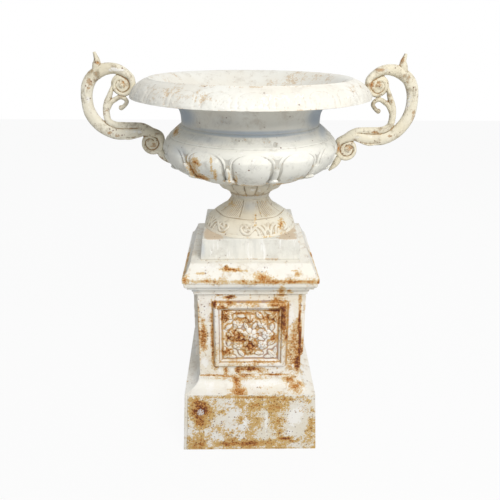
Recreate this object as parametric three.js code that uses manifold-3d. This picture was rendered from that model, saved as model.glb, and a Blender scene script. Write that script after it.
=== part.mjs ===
// A cast-iron garden urn with two scroll handles, standing on a square panelled pedestal.
// Millimetres, +Z up. The origin is on the ground, under the middle of the pedestal.
// The pedestal is four bolted block plates, a skirt, four panels and a cap, drawn together by a tie rod.
// The urn is a plinth, foot, collar, bowl and rim on a rod of its own, and lifts off the cap.
import * as THREE from "three";
import { mergeVertices } from "three/addons/utils/BufferGeometryUtils.js";
import Module from "manifold-3d";

const wasm = await Module();
wasm.setup();

// ---------------------------------------------------------------- driving dimensions

const SEAT = 0.3; // clearance where one casting rests on or fits round another
const SINK = 1; // depth that a raised moulding is rooted in its own casting

const BLOCK_HALF = 190; // half width of the block on the ground
const BLOCK_TOP_HALF = 181;
const BLOCK_HEIGHT = 182;
const BLOCK_WALL = 9;
const LUG_REACH = 62; // length of a plate's inner lug, along the plate that it is bolted to
const LUG_THICKNESS = 11;
const LUG_HEIGHT = 64;
const BLOCK_BOLT_INSET = 46; // from the left end of a plate to its bolt
const BLOCK_BOLT_BELOW_TOP = 52;
const BLOCK_BOLT_RADIUS = 6;
const BLOCK_BOLT_HEAD = 4;
const BLOCK_NUT_HEIGHT = 10;

const SKIRT_HEIGHT = 37;
const SKIRT_BAND = 3; // upright band at the foot of the hollow moulding
const SKIRT_WALL = 9;
const SKIRT_LIP = 10; // height of the lip that centres the skirt inside the block
const GROOVE_LIP = 3.5; // thickness of the lip outside the foot of the panels
const GROOVE_DEPTH = 5;
const GROOVE_REBATE = 8; // how much higher the rebate stands inside the panels
const FLANGE_WIDTH = 27.7; // reach of the skirt's inner flange inside the groove

const SHAFT_HALF = 140;
const PANEL_WALL = 8;
const PANEL_HEIGHT = 269.4;
const FRAME_HALF = 99;
const FRAME_WIDTH = 21;
const FRAME_RISE = 13;
const FRAME_ABOVE_MIDDLE = 4; // middle of the raised frame above the middle of the panel
const ROSETTE_RING = 50;
const ROSETTE_COUNT = 8;
const ROSETTE_RADIUS = 14;
const ROSETTE_RISE = 6;

const CAP_NECKING_STEP = 9.5; // how far each moulding of the cap stands out beyond the one below
const CAP_BED_STEP = 14.5;
const CAP_FASCIA_STEP = 11;
const CAP_DECK_SETBACK = 20.5; // from the face of the fascia back to the edge of the deck
const CAP_NECKING_HEIGHT = 9; // heights of the mouldings, from the foot of the cap up
const CAP_COVE_HEIGHT = 11;
const CAP_BED_HEIGHT = 7;
const CAP_OVOLO_HEIGHT = 15;
const CAP_FASCIA_HEIGHT = 13;
const CAP_WEATHERING_HEIGHT = 35;
const CAP_FILLET = 3; // small set-back between one moulding and the next
const CAP_WALL = 9;
const CAP_WELL_RADIUS = 27; // the well in the deck that takes the upper end of the tie rod
const CAP_WELL_ROOM = 2.4; // clear height in it above that end

const ROD_RADIUS = 8;
const ROD_PLAY = 0.8;
const TIE_BAR_WIDTH = 44;
const TIE_BAR_THICKNESS = 10;
const NUT_HEIGHT = 10;
const NUT_ACROSS = 1.75; // corner radius of a nut, in bolt radii
const WASHER_RADIUS = 22;
const WASHER_THICKNESS = 3;
const THREAD_END = 4; // rod that stands past its nut

const PLINTH_HALF = 129.6;
const PLINTH_TOP_HALF = 124.3;
const PLINTH_ROOM = 28.1; // clear height inside the plinth under the end of the urn's rod
const PLINTH_WALL = 9;

const DOME_RADIUS = 123.5;
const DOME_SHOULDER_RADIUS = 95;
const DOME_HEIGHT = 40;
const STEM_RADIUS = 50;
const STEM_HEIGHT = 40.7; // from the shoulder of the dome to the narrowest place
const FOOT_WALL = 9;
const FOOT_FLUTES = 8;
const FLUTE_DEPTH = 4;

const COLLAR_RADIUS = 91;
const COLLAR_HEIGHT = 52.4;
const COLLAR_WALL = 9;
const COLLAR_LOBES = 16;
const COLLAR_LOBE_DEPTH = 4;

const BELLY_RADIUS = 226.5;
const BELLY_RISE = 81; // height of the widest place above the foot of the bowl
const SHOULDER_HEIGHT = 57; // from the widest place up to the crease under the neck
const BOWL_FOOT_STEP = 6; // how far the bowl stands out over the collar, and its crease beyond the neck
const CREASE_STEP = 2;
const BOWL_WALL = 9;
const GADROONS = 12;
const GADROON_DEPTH = 9;
const GADROON_FOOT = 24; // heights of the gadroons' two ends above the foot of the bowl
const GADROON_TOP = 104;
const DRAIN_RADIUS = 7;
const DRAIN_RING = 122;
const DRAINS = 4;

const NECK_RADIUS = 176;
const RIM_HEIGHT = 112.7;
const LIP_RADIUS = 300;
const LIP_DROP = 44.5; // how far the lip hangs below the crest
const CREST_RADIUS = 252;
const RIM_WALL = 8;

const HANDLE_REACH = 90; // outermost place of an arm's middle line beyond the middle of its upper scroll
const HANDLE_DROP = 15; // how much lower the foot of the right handle hangs than that of the left one
const UPPER_SCROLL_OUT = 28.6; // from the seat on the lip to the middle of the upper scroll
const UPPER_SCROLL_RISE = 7;
const LOWER_SCROLL_OUT = 30; // from the seat on the belly to the middle of the lower scroll
const LOWER_SCROLL_RISE = 5;
const HANDLE_DEPTH = 24;
const STRAND_FLATNESS = 1.6; // most depth of a thin strand, in its own widths
const FINIAL_HEIGHT = 77; // tip of the finial above the middle of the upper scroll
const EYE_RADIUS = 9;
const BERRY_RADIUS = 6.5;
const PAD_RADIUS = 9;
const PAD_LENGTH = 20;
const DRAWN_REACH = 90; // size at which a handle's shape is drawn, before it is stretched to its place
const DRAWN_DROP = 144;
const DRAWN_INSET = 65;
const SCREW_RADIUS = 4;
const SCREW_GRIP = 17; // length of screw inside the handle
const SCREW_HEAD_RADIUS = 7.5;
const SCREW_HEAD_HEIGHT = 5;
const SCREW_WASHER_RADIUS = 8.5;
const SCREW_WASHER_THICKNESS = 1.5;

// Facets of round things.
const RIM_SEGMENTS = 48;
const BOWL_SEGMENTS = GADROONS * 6;
const LIP_STEPS = 5;
const COLLAR_SEGMENTS = COLLAR_LOBES * 4;
const FOOT_SEGMENTS = FOOT_FLUTES * 6;
const ROD_SEGMENTS = 12;
const SCREW_SEGMENTS = 10;
const ARM_SIDES = 8;
const ARM_STEPS = 54;
const LEAF_SIDES = 6;

// ---------------------------------------------------------------- heights of the stack

const skirtBase = BLOCK_HEIGHT + SEAT;
const skirtTop = BLOCK_HEIGHT + SKIRT_HEIGHT;
const panelBase = skirtTop - GROOVE_DEPTH + SEAT;
const panelTop = panelBase + PANEL_HEIGHT;
const capBase = panelTop + SEAT - GROOVE_DEPTH;
const bedBase = capBase + CAP_NECKING_HEIGHT + CAP_COVE_HEIGHT;
const bedTop = bedBase + CAP_BED_HEIGHT;
const fasciaBase = bedTop + CAP_OVOLO_HEIGHT;
const fasciaTop = fasciaBase + CAP_FASCIA_HEIGHT;
const deck = fasciaTop + CAP_WEATHERING_HEIGHT;
const rodEnd = SEAT + WASHER_THICKNESS + SEAT + NUT_HEIGHT + THREAD_END; // rod beyond what it clamps
const wellFloor = deck - rodEnd - CAP_WELL_ROOM;
const plinthBase = deck + SEAT;
const plinthCeiling = plinthBase + rodEnd + PLINTH_ROOM;
const plinthTop = plinthCeiling + PLINTH_WALL;
const footBase = plinthTop + SEAT;
const domeTop = footBase + DOME_HEIGHT;
const footTop = domeTop + STEM_HEIGHT;
const collarBase = footTop + SEAT;
const collarTop = collarBase + COLLAR_HEIGHT;
const bowlBase = collarTop + SEAT;
const bowlTop = bowlBase + BELLY_RISE + SHOULDER_HEIGHT;
const rimBase = bowlTop + SEAT;
const crest = rimBase + RIM_HEIGHT;
const lipEdge = crest - LIP_DROP;
const rodHole = ROD_RADIUS + ROD_PLAY;

// ---------------------------------------------------------------- materials

function paint(color, roughness, metalness = 0.1) {
  return new THREE.MeshStandardMaterial({ color, roughness, metalness });
}
const creamPaint = () => paint(0xe4dcc8, 0.75);
const greyPaint = () => paint(0xd9dad2, 0.7);
const rustyPaint = () => paint(0xd8c7a4, 0.85);
const tanPaint = () => paint(0xcfc4a4, 0.75);
const bareIron = () => paint(0x6b4a35, 0.85, 0.5);

// ---------------------------------------------------------------- solids

// A closed solid from a geometry: equal corners are merged and flat slivers dropped.
function solid(geometry) {
  const plain = new THREE.BufferGeometry();
  plain.setAttribute("position", geometry.getAttribute("position"));
  plain.setIndex(geometry.index);
  const merged = mergeVertices(plain, 1e-3);
  const corners = merged.index.array;
  const triVerts = [];
  for (let i = 0; i < corners.length; i += 3) {
    const [a, b, c] = corners.slice(i, i + 3);
    if (a !== b && b !== c && c !== a) triVerts.push(a, b, c);
  }
  return new wasm.Manifold(
    new wasm.Mesh({
      numProp: 3,
      vertProperties: new Float32Array(merged.getAttribute("position").array),
      triVerts: new Uint32Array(triVerts),
    }),
  );
}

function geometryOf(body) {
  const mesh = body.getMesh();
  const geometry = new THREE.BufferGeometry();
  geometry.setAttribute("position", new THREE.BufferAttribute(mesh.vertProperties, 3));
  geometry.setIndex(new THREE.BufferAttribute(mesh.triVerts, 1));
  geometry.computeVertexNormals();
  return geometry;
}

// Joins rings of equal length into a closed skin. Where closed is false the ends get a flat cap.
function skin(rings, closed) {
  const count = rings[0].length;
  const position = rings.flat().flatMap((p) => [p.x, p.y, p.z]);
  const index = [];
  const last = closed ? rings.length : rings.length - 1;
  for (let i = 0; i < last; i++) {
    const below = i * count;
    const above = ((i + 1) % rings.length) * count;
    for (let j = 0; j < count; j++) {
      const next = (j + 1) % count;
      index.push(below + j, below + next, above + next, below + j, above + next, above + j);
    }
  }
  if (!closed) {
    const top = (rings.length - 1) * count;
    for (let j = 1; j < count - 1; j++) {
      index.push(0, j + 1, j, top, top + j, top + j + 1);
    }
  }
  const geometry = new THREE.BufferGeometry();
  geometry.setAttribute("position", new THREE.Float32BufferAttribute(position, 3));
  geometry.setIndex(index);
  return geometry;
}

// Turns a closed outline of (radius, height) points, anticlockwise, about Z.
// relief(index, angle) is how far a point moves out from the axis.
function turned(outline, segments, relief = () => 0, phase = 0) {
  const rings = outline.map((point, i) => {
    const ring = [];
    for (let j = 0; j < segments; j++) {
      const angle = phase + (2 * Math.PI * j) / segments;
      const radius = point.x + relief(i, angle);
      ring.push(new THREE.Vector3(radius * Math.cos(angle), radius * Math.sin(angle), point.y));
    }
    return ring;
  });
  return solid(skin(rings, true));
}

// The same for a square section: the outline gives half widths in place of radii.
function squared(outline) {
  const corners = outline.map((p) => new THREE.Vector2(p.x * Math.SQRT2, p.y));
  return turned(corners, 4, () => 0, Math.PI / 4);
}

const at = (x, y) => new THREE.Vector2(x, y);

// Points of a curve that leaves a towards the bend and arrives at b from it.
function bend(a, towards, b, steps = 4) {
  return new THREE.QuadraticBezierCurve(a, towards, b).getPoints(steps);
}

// Points of a smooth curve through the given ones.
function through(points, steps) {
  return new THREE.SplineCurve(points).getPoints(steps);
}

// Moves an open outline sideways: to its left, as it is walked, for a positive distance.
function beside(points, distance) {
  return points.map((point, i) => {
    const ahead = points[Math.min(i + 1, points.length - 1)];
    const behind = points[Math.max(i - 1, 0)];
    const along = ahead.clone().sub(behind).normalize();
    return at(point.x - along.y * distance, point.y + along.x * distance);
  });
}

// Every other point of an outline, for an inner wall that is seldom seen, with both ends kept.
function thinned(points) {
  return points.filter((_, i) => i % 2 === 0 || i === points.length - 1);
}

function box(x0, x1, y0, y1, z0, z1) {
  const geometry = new THREE.BoxGeometry(x1 - x0, y1 - y0, z1 - z0);
  geometry.translate((x0 + x1) / 2, (y0 + y1) / 2, (z0 + z1) / 2);
  return solid(geometry);
}

// An upright round bar, or a hexagon with six sides.
function bar(radius, z0, z1, sides = ROD_SEGMENTS) {
  const geometry = new THREE.CylinderGeometry(radius, radius, z1 - z0, sides);
  geometry.rotateX(Math.PI / 2);
  geometry.translate(0, 0, (z0 + z1) / 2);
  return solid(geometry);
}

// Turns an upright solid so that its +Z points along the direction and its origin lies at the point.
function aimed(body, point, direction) {
  const turn = new THREE.Quaternion().setFromUnitVectors(new THREE.Vector3(0, 0, 1), direction);
  const place = new THREE.Matrix4().compose(point, turn, new THREE.Vector3(1, 1, 1));
  return body.transform(place.elements);
}

const group = new THREE.Group();

function add(name, body, material, turn = 0) {
  const mesh = new THREE.Mesh(geometryOf(body), material);
  mesh.name = name;
  mesh.rotation.z = turn;
  group.add(mesh);
}

const SIDES = ["front", "right", "back", "left"];
const quarter = (i) => (i * Math.PI) / 2;

// ---------------------------------------------------------------- block of four bolted plates

const blockHalf = (z) => BLOCK_HALF + ((BLOCK_TOP_HALF - BLOCK_HALF) * z) / BLOCK_HEIGHT;
const draft = Math.atan2(BLOCK_HALF - BLOCK_TOP_HALF, BLOCK_HEIGHT);

// A body with flat sides whose four upright edges lean with the block: ends(z) gives x0, x1, y0, y1.
function leaning(z0, z1, ends) {
  const rings = [z0, z1].map((z) => {
    const [x0, x1, y0, y1] = ends(z);
    return [
      new THREE.Vector3(x0, y0, z),
      new THREE.Vector3(x1, y0, z),
      new THREE.Vector3(x1, y1, z),
      new THREE.Vector3(x0, y1, z),
    ];
  });
  return solid(skin(rings, false));
}

// The front plate's bolt: its place on the outer face, and the way out of that face.
const boltHeight = BLOCK_HEIGHT - BLOCK_BOLT_BELOW_TOP;
const boltOut = new THREE.Vector3(0, -Math.cos(draft), Math.sin(draft));
const boltX = -(blockHalf(boltHeight) - BLOCK_BOLT_INSET);
const boltPoint = new THREE.Vector3(boltX, -blockHalf(boltHeight), boltHeight);
const boltDepth = (BLOCK_WALL + SEAT + LUG_THICKNESS) * Math.cos(draft);

// Each plate runs past the end of the next one, which is bolted to a lug on its inner face.
function blockPlate() {
  const plate = leaning(0, BLOCK_HEIGHT, (z) => {
    const half = blockHalf(z);
    return [-(half - BLOCK_WALL - SEAT), half, -half, -(half - BLOCK_WALL)];
  });
  const lugBase = boltHeight - LUG_HEIGHT / 2;
  const lug = leaning(lugBase, lugBase + LUG_HEIGHT, (z) => {
    const end = blockHalf(z) - BLOCK_WALL - SEAT;
    return [end - LUG_THICKNESS, end, -(end + SEAT + SINK), -(end - LUG_REACH)];
  });
  const hole = bar(BLOCK_BOLT_RADIUS + ROD_PLAY, -2 * boltDepth, boltDepth);
  const ownHole = aimed(hole, boltPoint, boltOut);
  const turnedPoint = new THREE.Vector3(-boltPoint.y, boltPoint.x, boltPoint.z);
  const turnedOut = new THREE.Vector3(-boltOut.y, boltOut.x, boltOut.z);
  return plate.add(lug).subtract(ownHole).subtract(aimed(hole, turnedPoint, turnedOut));
}

function nut(radius, z0, height) {
  const hexagon = bar(radius * NUT_ACROSS, z0, z0 + height, 6);
  return hexagon.subtract(bar(radius + SEAT, z0 - 1, z0 + height + 1));
}

function blockBolt() {
  const head = bar(BLOCK_BOLT_RADIUS * NUT_ACROSS, SEAT, SEAT + BLOCK_BOLT_HEAD, 6);
  const length = boltDepth + SEAT + BLOCK_NUT_HEIGHT + THREAD_END;
  return aimed(head.add(bar(BLOCK_BOLT_RADIUS, -length, SEAT + SINK)), boltPoint, boltOut);
}

function blockNut() {
  const base = -(boltDepth + SEAT + BLOCK_NUT_HEIGHT);
  return aimed(nut(BLOCK_BOLT_RADIUS, base, BLOCK_NUT_HEIGHT), boltPoint, boltOut);
}

SIDES.forEach((side, i) => {
  add(`block_plate_${side}`, blockPlate(), rustyPaint(), quarter(i));
  add(`block_bolt_${side}`, blockBolt(), bareIron(), quarter(i));
  add(`block_nut_${side}`, blockNut(), bareIron(), quarter(i));
});

// ---------------------------------------------------------------- skirt

// The groove that holds the feet or the heads of the panels, as offsets that both castings share.
const grooveOuter = SHAFT_HALF + SEAT;
const grooveInner = SHAFT_HALF - PANEL_WALL - SEAT;
const skirtEdge = grooveOuter + GROOVE_LIP;
const hollowTop = skirtTop - GROOVE_DEPTH;
const flangeUnder = hollowTop - SKIRT_WALL;
const flangeHalf = grooveInner - FLANGE_WIDTH;

function skirt() {
  const lipOuter = blockHalf(BLOCK_HEIGHT) - BLOCK_WALL - SEAT;
  const lipInner = lipOuter - SKIRT_WALL;
  const bandTop = skirtBase + SKIRT_BAND;
  const sweep = at(skirtEdge + 2, bandTop + 5);
  const hollow = bend(at(BLOCK_TOP_HALF, bandTop), sweep, at(skirtEdge, hollowTop), 6);
  return squared([
    at(lipInner, skirtBase - SKIRT_LIP),
    at(lipOuter, skirtBase - SKIRT_LIP),
    at(lipOuter, skirtBase),
    at(BLOCK_TOP_HALF, skirtBase),
    ...hollow,
    at(skirtEdge, skirtTop),
    at(grooveOuter, skirtTop),
    at(grooveOuter, hollowTop),
    at(grooveInner, hollowTop),
    at(grooveInner, hollowTop + GROOVE_REBATE),
    at(flangeHalf, hollowTop + GROOVE_REBATE),
    at(flangeHalf, flangeUnder),
    at(skirtEdge - SKIRT_WALL, flangeUnder),
    at(lipInner, skirtBase),
  ]);
}

add("skirt", skirt(), creamPaint());

// ---------------------------------------------------------------- panels

// The moulding of a raised frame, as a square ring that stands on the plane z = 0.
function frameRing() {
  const outer = FRAME_HALF;
  const inner = FRAME_HALF - FRAME_WIDTH;
  const flat = FRAME_WIDTH / 4;
  return squared([
    at(inner, -SINK),
    at(outer, -SINK),
    at(outer - flat / 2, FRAME_RISE * 0.6),
    at(outer - flat, FRAME_RISE),
    at(outer - 2.4 * flat, FRAME_RISE),
    at(inner + flat, FRAME_RISE * 0.5),
    at(inner, FRAME_RISE * 0.3),
  ]);
}

function rosette(x, y, radius) {
  const geometry = new THREE.SphereGeometry(1, 8, 6);
  geometry.rotateX(Math.PI / 2);
  geometry.scale(radius, radius, ROSETTE_RISE);
  geometry.translate(x, y, 0);
  return solid(geometry);
}

// A panel lies on its back with its face up, then is stood up to face -Y.
function panel(halfWidth) {
  let body = box(-halfWidth, halfWidth, 0, PANEL_HEIGHT, -PANEL_WALL, 0);
  const middle = PANEL_HEIGHT / 2 + FRAME_ABOVE_MIDDLE;
  let raised = frameRing().add(rosette(0, 0, ROSETTE_RADIUS * 1.5));
  for (let i = 0; i < ROSETTE_COUNT; i++) {
    const angle = (2 * Math.PI * i) / ROSETTE_COUNT;
    const x = ROSETTE_RING * Math.cos(angle);
    raised = raised.add(rosette(x, ROSETTE_RING * Math.sin(angle), ROSETTE_RADIUS));
  }
  body = body.add(raised.translate(0, middle, 0));
  return body.rotate(90, 0, 0).translate(0, -SHAFT_HALF, panelBase);
}

const sidePanelHalf = SHAFT_HALF - PANEL_WALL - SEAT;
SIDES.forEach((side, i) => {
  const halfWidth = i % 2 === 0 ? SHAFT_HALF : sidePanelHalf;
  add(`panel_${side}`, panel(halfWidth), creamPaint(), quarter(i));
});

// ---------------------------------------------------------------- cap

function cap() {
  const necking = SHAFT_HALF + CAP_NECKING_STEP;
  const bed = necking + CAP_BED_STEP;
  const fascia = bed + CAP_FASCIA_STEP;
  const edge = fascia - CAP_DECK_SETBACK;
  const neckingTop = capBase + CAP_NECKING_HEIGHT;
  const inside = necking - CAP_WALL;
  const ceiling = deck - CAP_WALL;
  const rebateFoot = capBase + GROOVE_DEPTH - GROOVE_REBATE;
  const rebateInner = grooveInner - CAP_WALL;
  const under = fascia - CAP_FILLET;
  const coveStart = necking + CAP_FILLET;
  const cove = bend(at(coveStart, neckingTop), at(coveStart, bedBase), at(bed, bedBase));
  const ovolo = bend(at(bed + CAP_FILLET, bedTop), at(under, bedTop), at(under, fasciaBase), 3);
  const middle = at((fascia + edge) / 2, fasciaTop + CAP_WEATHERING_HEIGHT / 4);
  const weathering = bend(at(under, fasciaTop + 1), middle, at(edge, deck - 1));
  const outline = [
    at(0, ceiling),
    at(inside, ceiling),
    at(inside, bedBase),
    at(rebateInner, neckingTop),
    at(rebateInner, rebateFoot),
    at(grooveInner, rebateFoot),
    at(grooveInner, capBase + GROOVE_DEPTH),
    at(grooveOuter, capBase + GROOVE_DEPTH),
    at(grooveOuter, capBase),
    at(necking, capBase),
    at(necking, neckingTop),
    ...cove,
    at(bed, bedTop),
    ...ovolo,
    at(fascia, fasciaBase),
    at(fascia, fasciaTop),
    ...weathering,
    at(edge - 1, deck),
    at(0, deck),
  ];
  const wellFoot = wellFloor - CAP_WALL;
  return squared(outline)
    .add(bar(CAP_WELL_RADIUS + CAP_WALL, wellFoot, ceiling + SINK, ROD_SEGMENTS * 2))
    .subtract(bar(CAP_WELL_RADIUS, wellFloor, deck + 1, ROD_SEGMENTS * 2))
    .subtract(bar(rodHole, wellFoot - 1, wellFloor + 1));
}

add("cap", cap(), creamPaint());

// ---------------------------------------------------------------- rods, bars and nuts

function washer(z0) {
  return bar(WASHER_RADIUS, z0, z0 + WASHER_THICKNESS).subtract(
    bar(rodHole, z0 - 1, z0 + WASHER_THICKNESS + 1),
  );
}

// A rod with a washer and a nut at each end, round what lies between the two heights.
function clamp(name, low, high) {
  const lowWasher = low - SEAT - WASHER_THICKNESS;
  const lowNut = lowWasher - SEAT - NUT_HEIGHT;
  const highWasher = high + SEAT;
  const highNut = highWasher + WASHER_THICKNESS + SEAT;
  const end = highNut + NUT_HEIGHT + THREAD_END;
  add(`${name}_rod`, bar(ROD_RADIUS, lowNut - THREAD_END, end), bareIron());
  add(`${name}_washer_low`, washer(lowWasher), bareIron());
  add(`${name}_nut_low`, nut(ROD_RADIUS, lowNut, NUT_HEIGHT), bareIron());
  add(`${name}_washer_high`, washer(highWasher), bareIron());
  add(`${name}_nut_high`, nut(ROD_RADIUS, highNut, NUT_HEIGHT), bareIron());
}

// The tie bar bears on the underside of the skirt's flange.
function tieBar() {
  const half = (flangeHalf + skirtEdge - SKIRT_WALL) / 2;
  const side = TIE_BAR_WIDTH / 2;
  const plain = box(-half, half, -side, side, barFoot, barTop);
  return plain.subtract(bar(rodHole, barFoot - 1, barTop + 1));
}

const barTop = flangeUnder - SEAT;
const barFoot = barTop - TIE_BAR_THICKNESS;
add("tie_bar", tieBar(), bareIron());
clamp("tie", barFoot, wellFloor);

// ---------------------------------------------------------------- urn plinth, foot and collar

function plinth() {
  return squared([
    at(0, plinthCeiling),
    at(PLINTH_TOP_HALF - PLINTH_WALL, plinthCeiling),
    at(PLINTH_HALF - PLINTH_WALL, plinthBase),
    at(PLINTH_HALF, plinthBase),
    at(PLINTH_TOP_HALF, plinthTop),
    at(0, plinthTop),
  ]).subtract(bar(rodHole, plinthCeiling - 1, plinthTop + 1));
}

add("urn_plinth", plinth(), greyPaint());

// Flutes run up the foot, shallow on the dome and full on the stem. The front is left plain.
function footCasting() {
  const shoulder = at(DOME_SHOULDER_RADIUS, domeTop);
  const domeBulge = at(DOME_RADIUS - 3.5, footBase + DOME_HEIGHT / 2);
  const dome = bend(at(DOME_RADIUS, footBase), domeBulge, shoulder, 5);
  const stemSweep = at(STEM_RADIUS + 8, domeTop + STEM_HEIGHT * 0.44);
  const stem = bend(shoulder, stemSweep, at(STEM_RADIUS, footTop), 5).slice(1);
  const outer = [...dome, ...stem];
  const inner = thinned(beside(outer.slice(0, -1), FOOT_WALL)).reverse();
  inner[inner.length - 1].y = footBase;
  const ceiling = footTop - FOOT_WALL;
  const top = [at(rodHole, footTop), at(rodHole, ceiling), at(inner[0].x, ceiling)];
  const flute = (i, angle) => {
    if (i < 1 || i >= outer.length) return 0;
    const strength = i < dome.length ? 0.5 : 1;
    return (-FLUTE_DEPTH * strength * (1 - Math.cos(FOOT_FLUTES * (angle + Math.PI / 2)))) / 2;
  };
  return turned([...outer, ...top, ...inner], FOOT_SEGMENTS, flute);
}

add("urn_foot", footCasting(), tanPaint());

function collar() {
  const outer = through(
    [
      at(STEM_RADIUS, collarBase),
      at(STEM_RADIUS + 11, collarBase + COLLAR_HEIGHT * 0.25),
      at(COLLAR_RADIUS - 11, collarBase + COLLAR_HEIGHT * 0.53),
      at(COLLAR_RADIUS, collarBase + COLLAR_HEIGHT * 0.82),
      at(COLLAR_RADIUS - 2, collarTop),
    ],
    7,
  );
  const inner = thinned(beside(outer.slice(2), COLLAR_WALL)).reverse();
  inner[0].y = collarTop;
  const floor = collarBase + COLLAR_WALL;
  const foot = [at(STEM_RADIUS - COLLAR_WALL, floor), at(rodHole, floor), at(rodHole, collarBase)];
  const outline = [...outer, ...inner, ...foot];
  const lobes = (i, angle) => {
    if (i < 1 || i > outer.length - 2) return 0;
    return -COLLAR_LOBE_DEPTH * (1 - Math.abs(Math.cos((COLLAR_LOBES / 2) * (angle + Math.PI / 2))));
  };
  return turned(outline, COLLAR_SEGMENTS, lobes);
}

add("urn_collar", collar(), tanPaint());

// ---------------------------------------------------------------- bowl

// The bowl's outer outline, from its foot to the crease under the neck.
function bowlOuter() {
  const widest = at(BELLY_RADIUS, bowlBase + BELLY_RISE);
  const foot = at(COLLAR_RADIUS + BOWL_FOOT_STEP, bowlBase);
  const under = bend(foot, at(BELLY_RADIUS - 8, bowlBase + BELLY_RISE * 0.2), widest, 7);
  const crease = at(NECK_RADIUS + CREASE_STEP, bowlTop);
  const shoulder = bend(widest, at(BELLY_RADIUS - 4, widest.y + SHOULDER_HEIGHT * 0.4), crease, 5);
  return [...under, ...shoulder.slice(1)];
}

function gadroonRelief(outer) {
  return (i, angle) => {
    if (i >= outer.length) return 0;
    const rise = (outer[i].y - bowlBase - GADROON_FOOT) / (GADROON_TOP - GADROON_FOOT);
    if (rise <= 0 || rise >= 1) return 0;
    const swell = Math.min(1, 2.2 * Math.sin(Math.PI * rise));
    const lobe = Math.abs(Math.cos((GADROONS / 2) * (angle + Math.PI / 2)));
    return -GADROON_DEPTH * swell * (1 - Math.sqrt(lobe));
  };
}

function bowl() {
  const outer = bowlOuter();
  const floor = bowlBase + BOWL_WALL;
  const inner = thinned(beside(outer.slice(1), BOWL_WALL)).reverse();
  inner[0] = at(NECK_RADIUS - RIM_WALL, bowlTop);
  const middle = [at(COLLAR_RADIUS, floor), at(rodHole, floor), at(rodHole, bowlBase)];
  let body = turned([...outer, ...inner, ...middle], BOWL_SEGMENTS, gadroonRelief(outer));
  for (let i = 0; i < DRAINS; i++) {
    const angle = (2 * Math.PI * (i + 0.5)) / DRAINS;
    const drain = bar(DRAIN_RADIUS, bowlBase - 1, bowlBase + BELLY_RISE, 8);
    const x = DRAIN_RING * Math.cos(angle);
    body = body.subtract(drain.translate(x, DRAIN_RING * Math.sin(angle), 0));
  }
  return body;
}

clamp("urn", plinthCeiling, bowlBase + BOWL_WALL);

// ---------------------------------------------------------------- rim

// The rim's upper face, from the hanging edge of the lip over the crest and down the throat.
function rimUpper() {
  const edge = at(LIP_RADIUS, lipEdge);
  const top = at(CREST_RADIUS, crest);
  const lip = bend(edge, at(LIP_RADIUS - 7, crest - LIP_DROP * 0.31), top, LIP_STEPS);
  const throatRadius = NECK_RADIUS - RIM_WALL;
  const throat = through(
    [
      top,
      at(CREST_RADIUS - 20, crest - RIM_HEIGHT * 0.08),
      at(throatRadius + 26, crest - RIM_HEIGHT * 0.4),
      at(throatRadius + 4, crest - RIM_HEIGHT * 0.7),
      at(throatRadius, rimBase),
    ],
    8,
  );
  return [...lip, ...throat.slice(1)];
}

function rim() {
  const upper = rimUpper();
  const under = thinned(beside(upper, RIM_WALL)).reverse();
  under[0] = at(NECK_RADIUS, rimBase);
  return turned([...upper, ...under], RIM_SEGMENTS);
}

// ---------------------------------------------------------------- handles

// Where a scroll meets the urn, part of the way up one facet: a point, and the way out of the face.
function seatOn([low, high], share) {
  const along = high.clone().sub(low).normalize();
  const place = low.clone().lerp(high, share);
  return {
    point: new THREE.Vector3(place.x, 0, place.y),
    out: new THREE.Vector3(along.y, 0, -along.x),
  };
}

const lipSeat = seatOn(rimUpper().slice(1, 3), 0.5);

// The widest place of the bowl, or as far below it as the drop says.
function bellySeat(drop) {
  const outer = bowlOuter();
  const z = bowlBase + BELLY_RISE - drop;
  const i = outer.findIndex((p) => p.y > z);
  return seatOn(outer.slice(i - 1, i + 1), (z - outer[i - 1].y) / (outer[i].y - outer[i - 1].y));
}

// Points of a spiral about a centre, from one angle and radius to another.
function spiral(centre, from, to, steps) {
  const points = [];
  for (let i = 0; i <= steps; i++) {
    const t = i / steps;
    const angle = from.angle + (to.angle - from.angle) * t;
    const radius = from.radius + (to.radius - from.radius) * t ** 1.2;
    points.push(at(centre.x + radius * Math.cos(angle), centre.y + radius * Math.sin(angle)));
  }
  return points;
}

// A bar whose middle follows a path in the XZ plane. sizes gives its half width in that plane at
// even shares of the path; its half depth along Y is a share of the handle's depth.
function strand(path, steps, sizes, sides = ARM_SIDES, depth = 1) {
  const curve = new THREE.SplineCurve(path);
  const rings = [];
  for (let i = 0; i <= steps; i++) {
    const t = i / steps;
    const point = curve.getPointAt(t);
    const along = curve.getTangentAt(t);
    const place = t * (sizes.length - 1);
    const lower = Math.min(Math.floor(place), sizes.length - 2);
    const half = THREE.MathUtils.lerp(sizes[lower], sizes[lower + 1], place - lower);
    const halfDepth = Math.min((HANDLE_DEPTH / 2) * depth, half * STRAND_FLATNESS);
    const ring = [];
    for (let j = 0; j < sides; j++) {
      const angle = (2 * Math.PI * (j + 0.5)) / sides;
      const across = half * Math.cos(angle);
      const x = point.x + along.y * across;
      ring.push(new THREE.Vector3(x, halfDepth * Math.sin(angle), point.y - along.x * across));
    }
    rings.push(ring);
  }
  return solid(skin(rings, false));
}

function ball(middle, radius) {
  const geometry = new THREE.SphereGeometry(radius, 8, 4);
  geometry.translate(middle.x, 0, middle.y);
  return solid(geometry);
}

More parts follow.
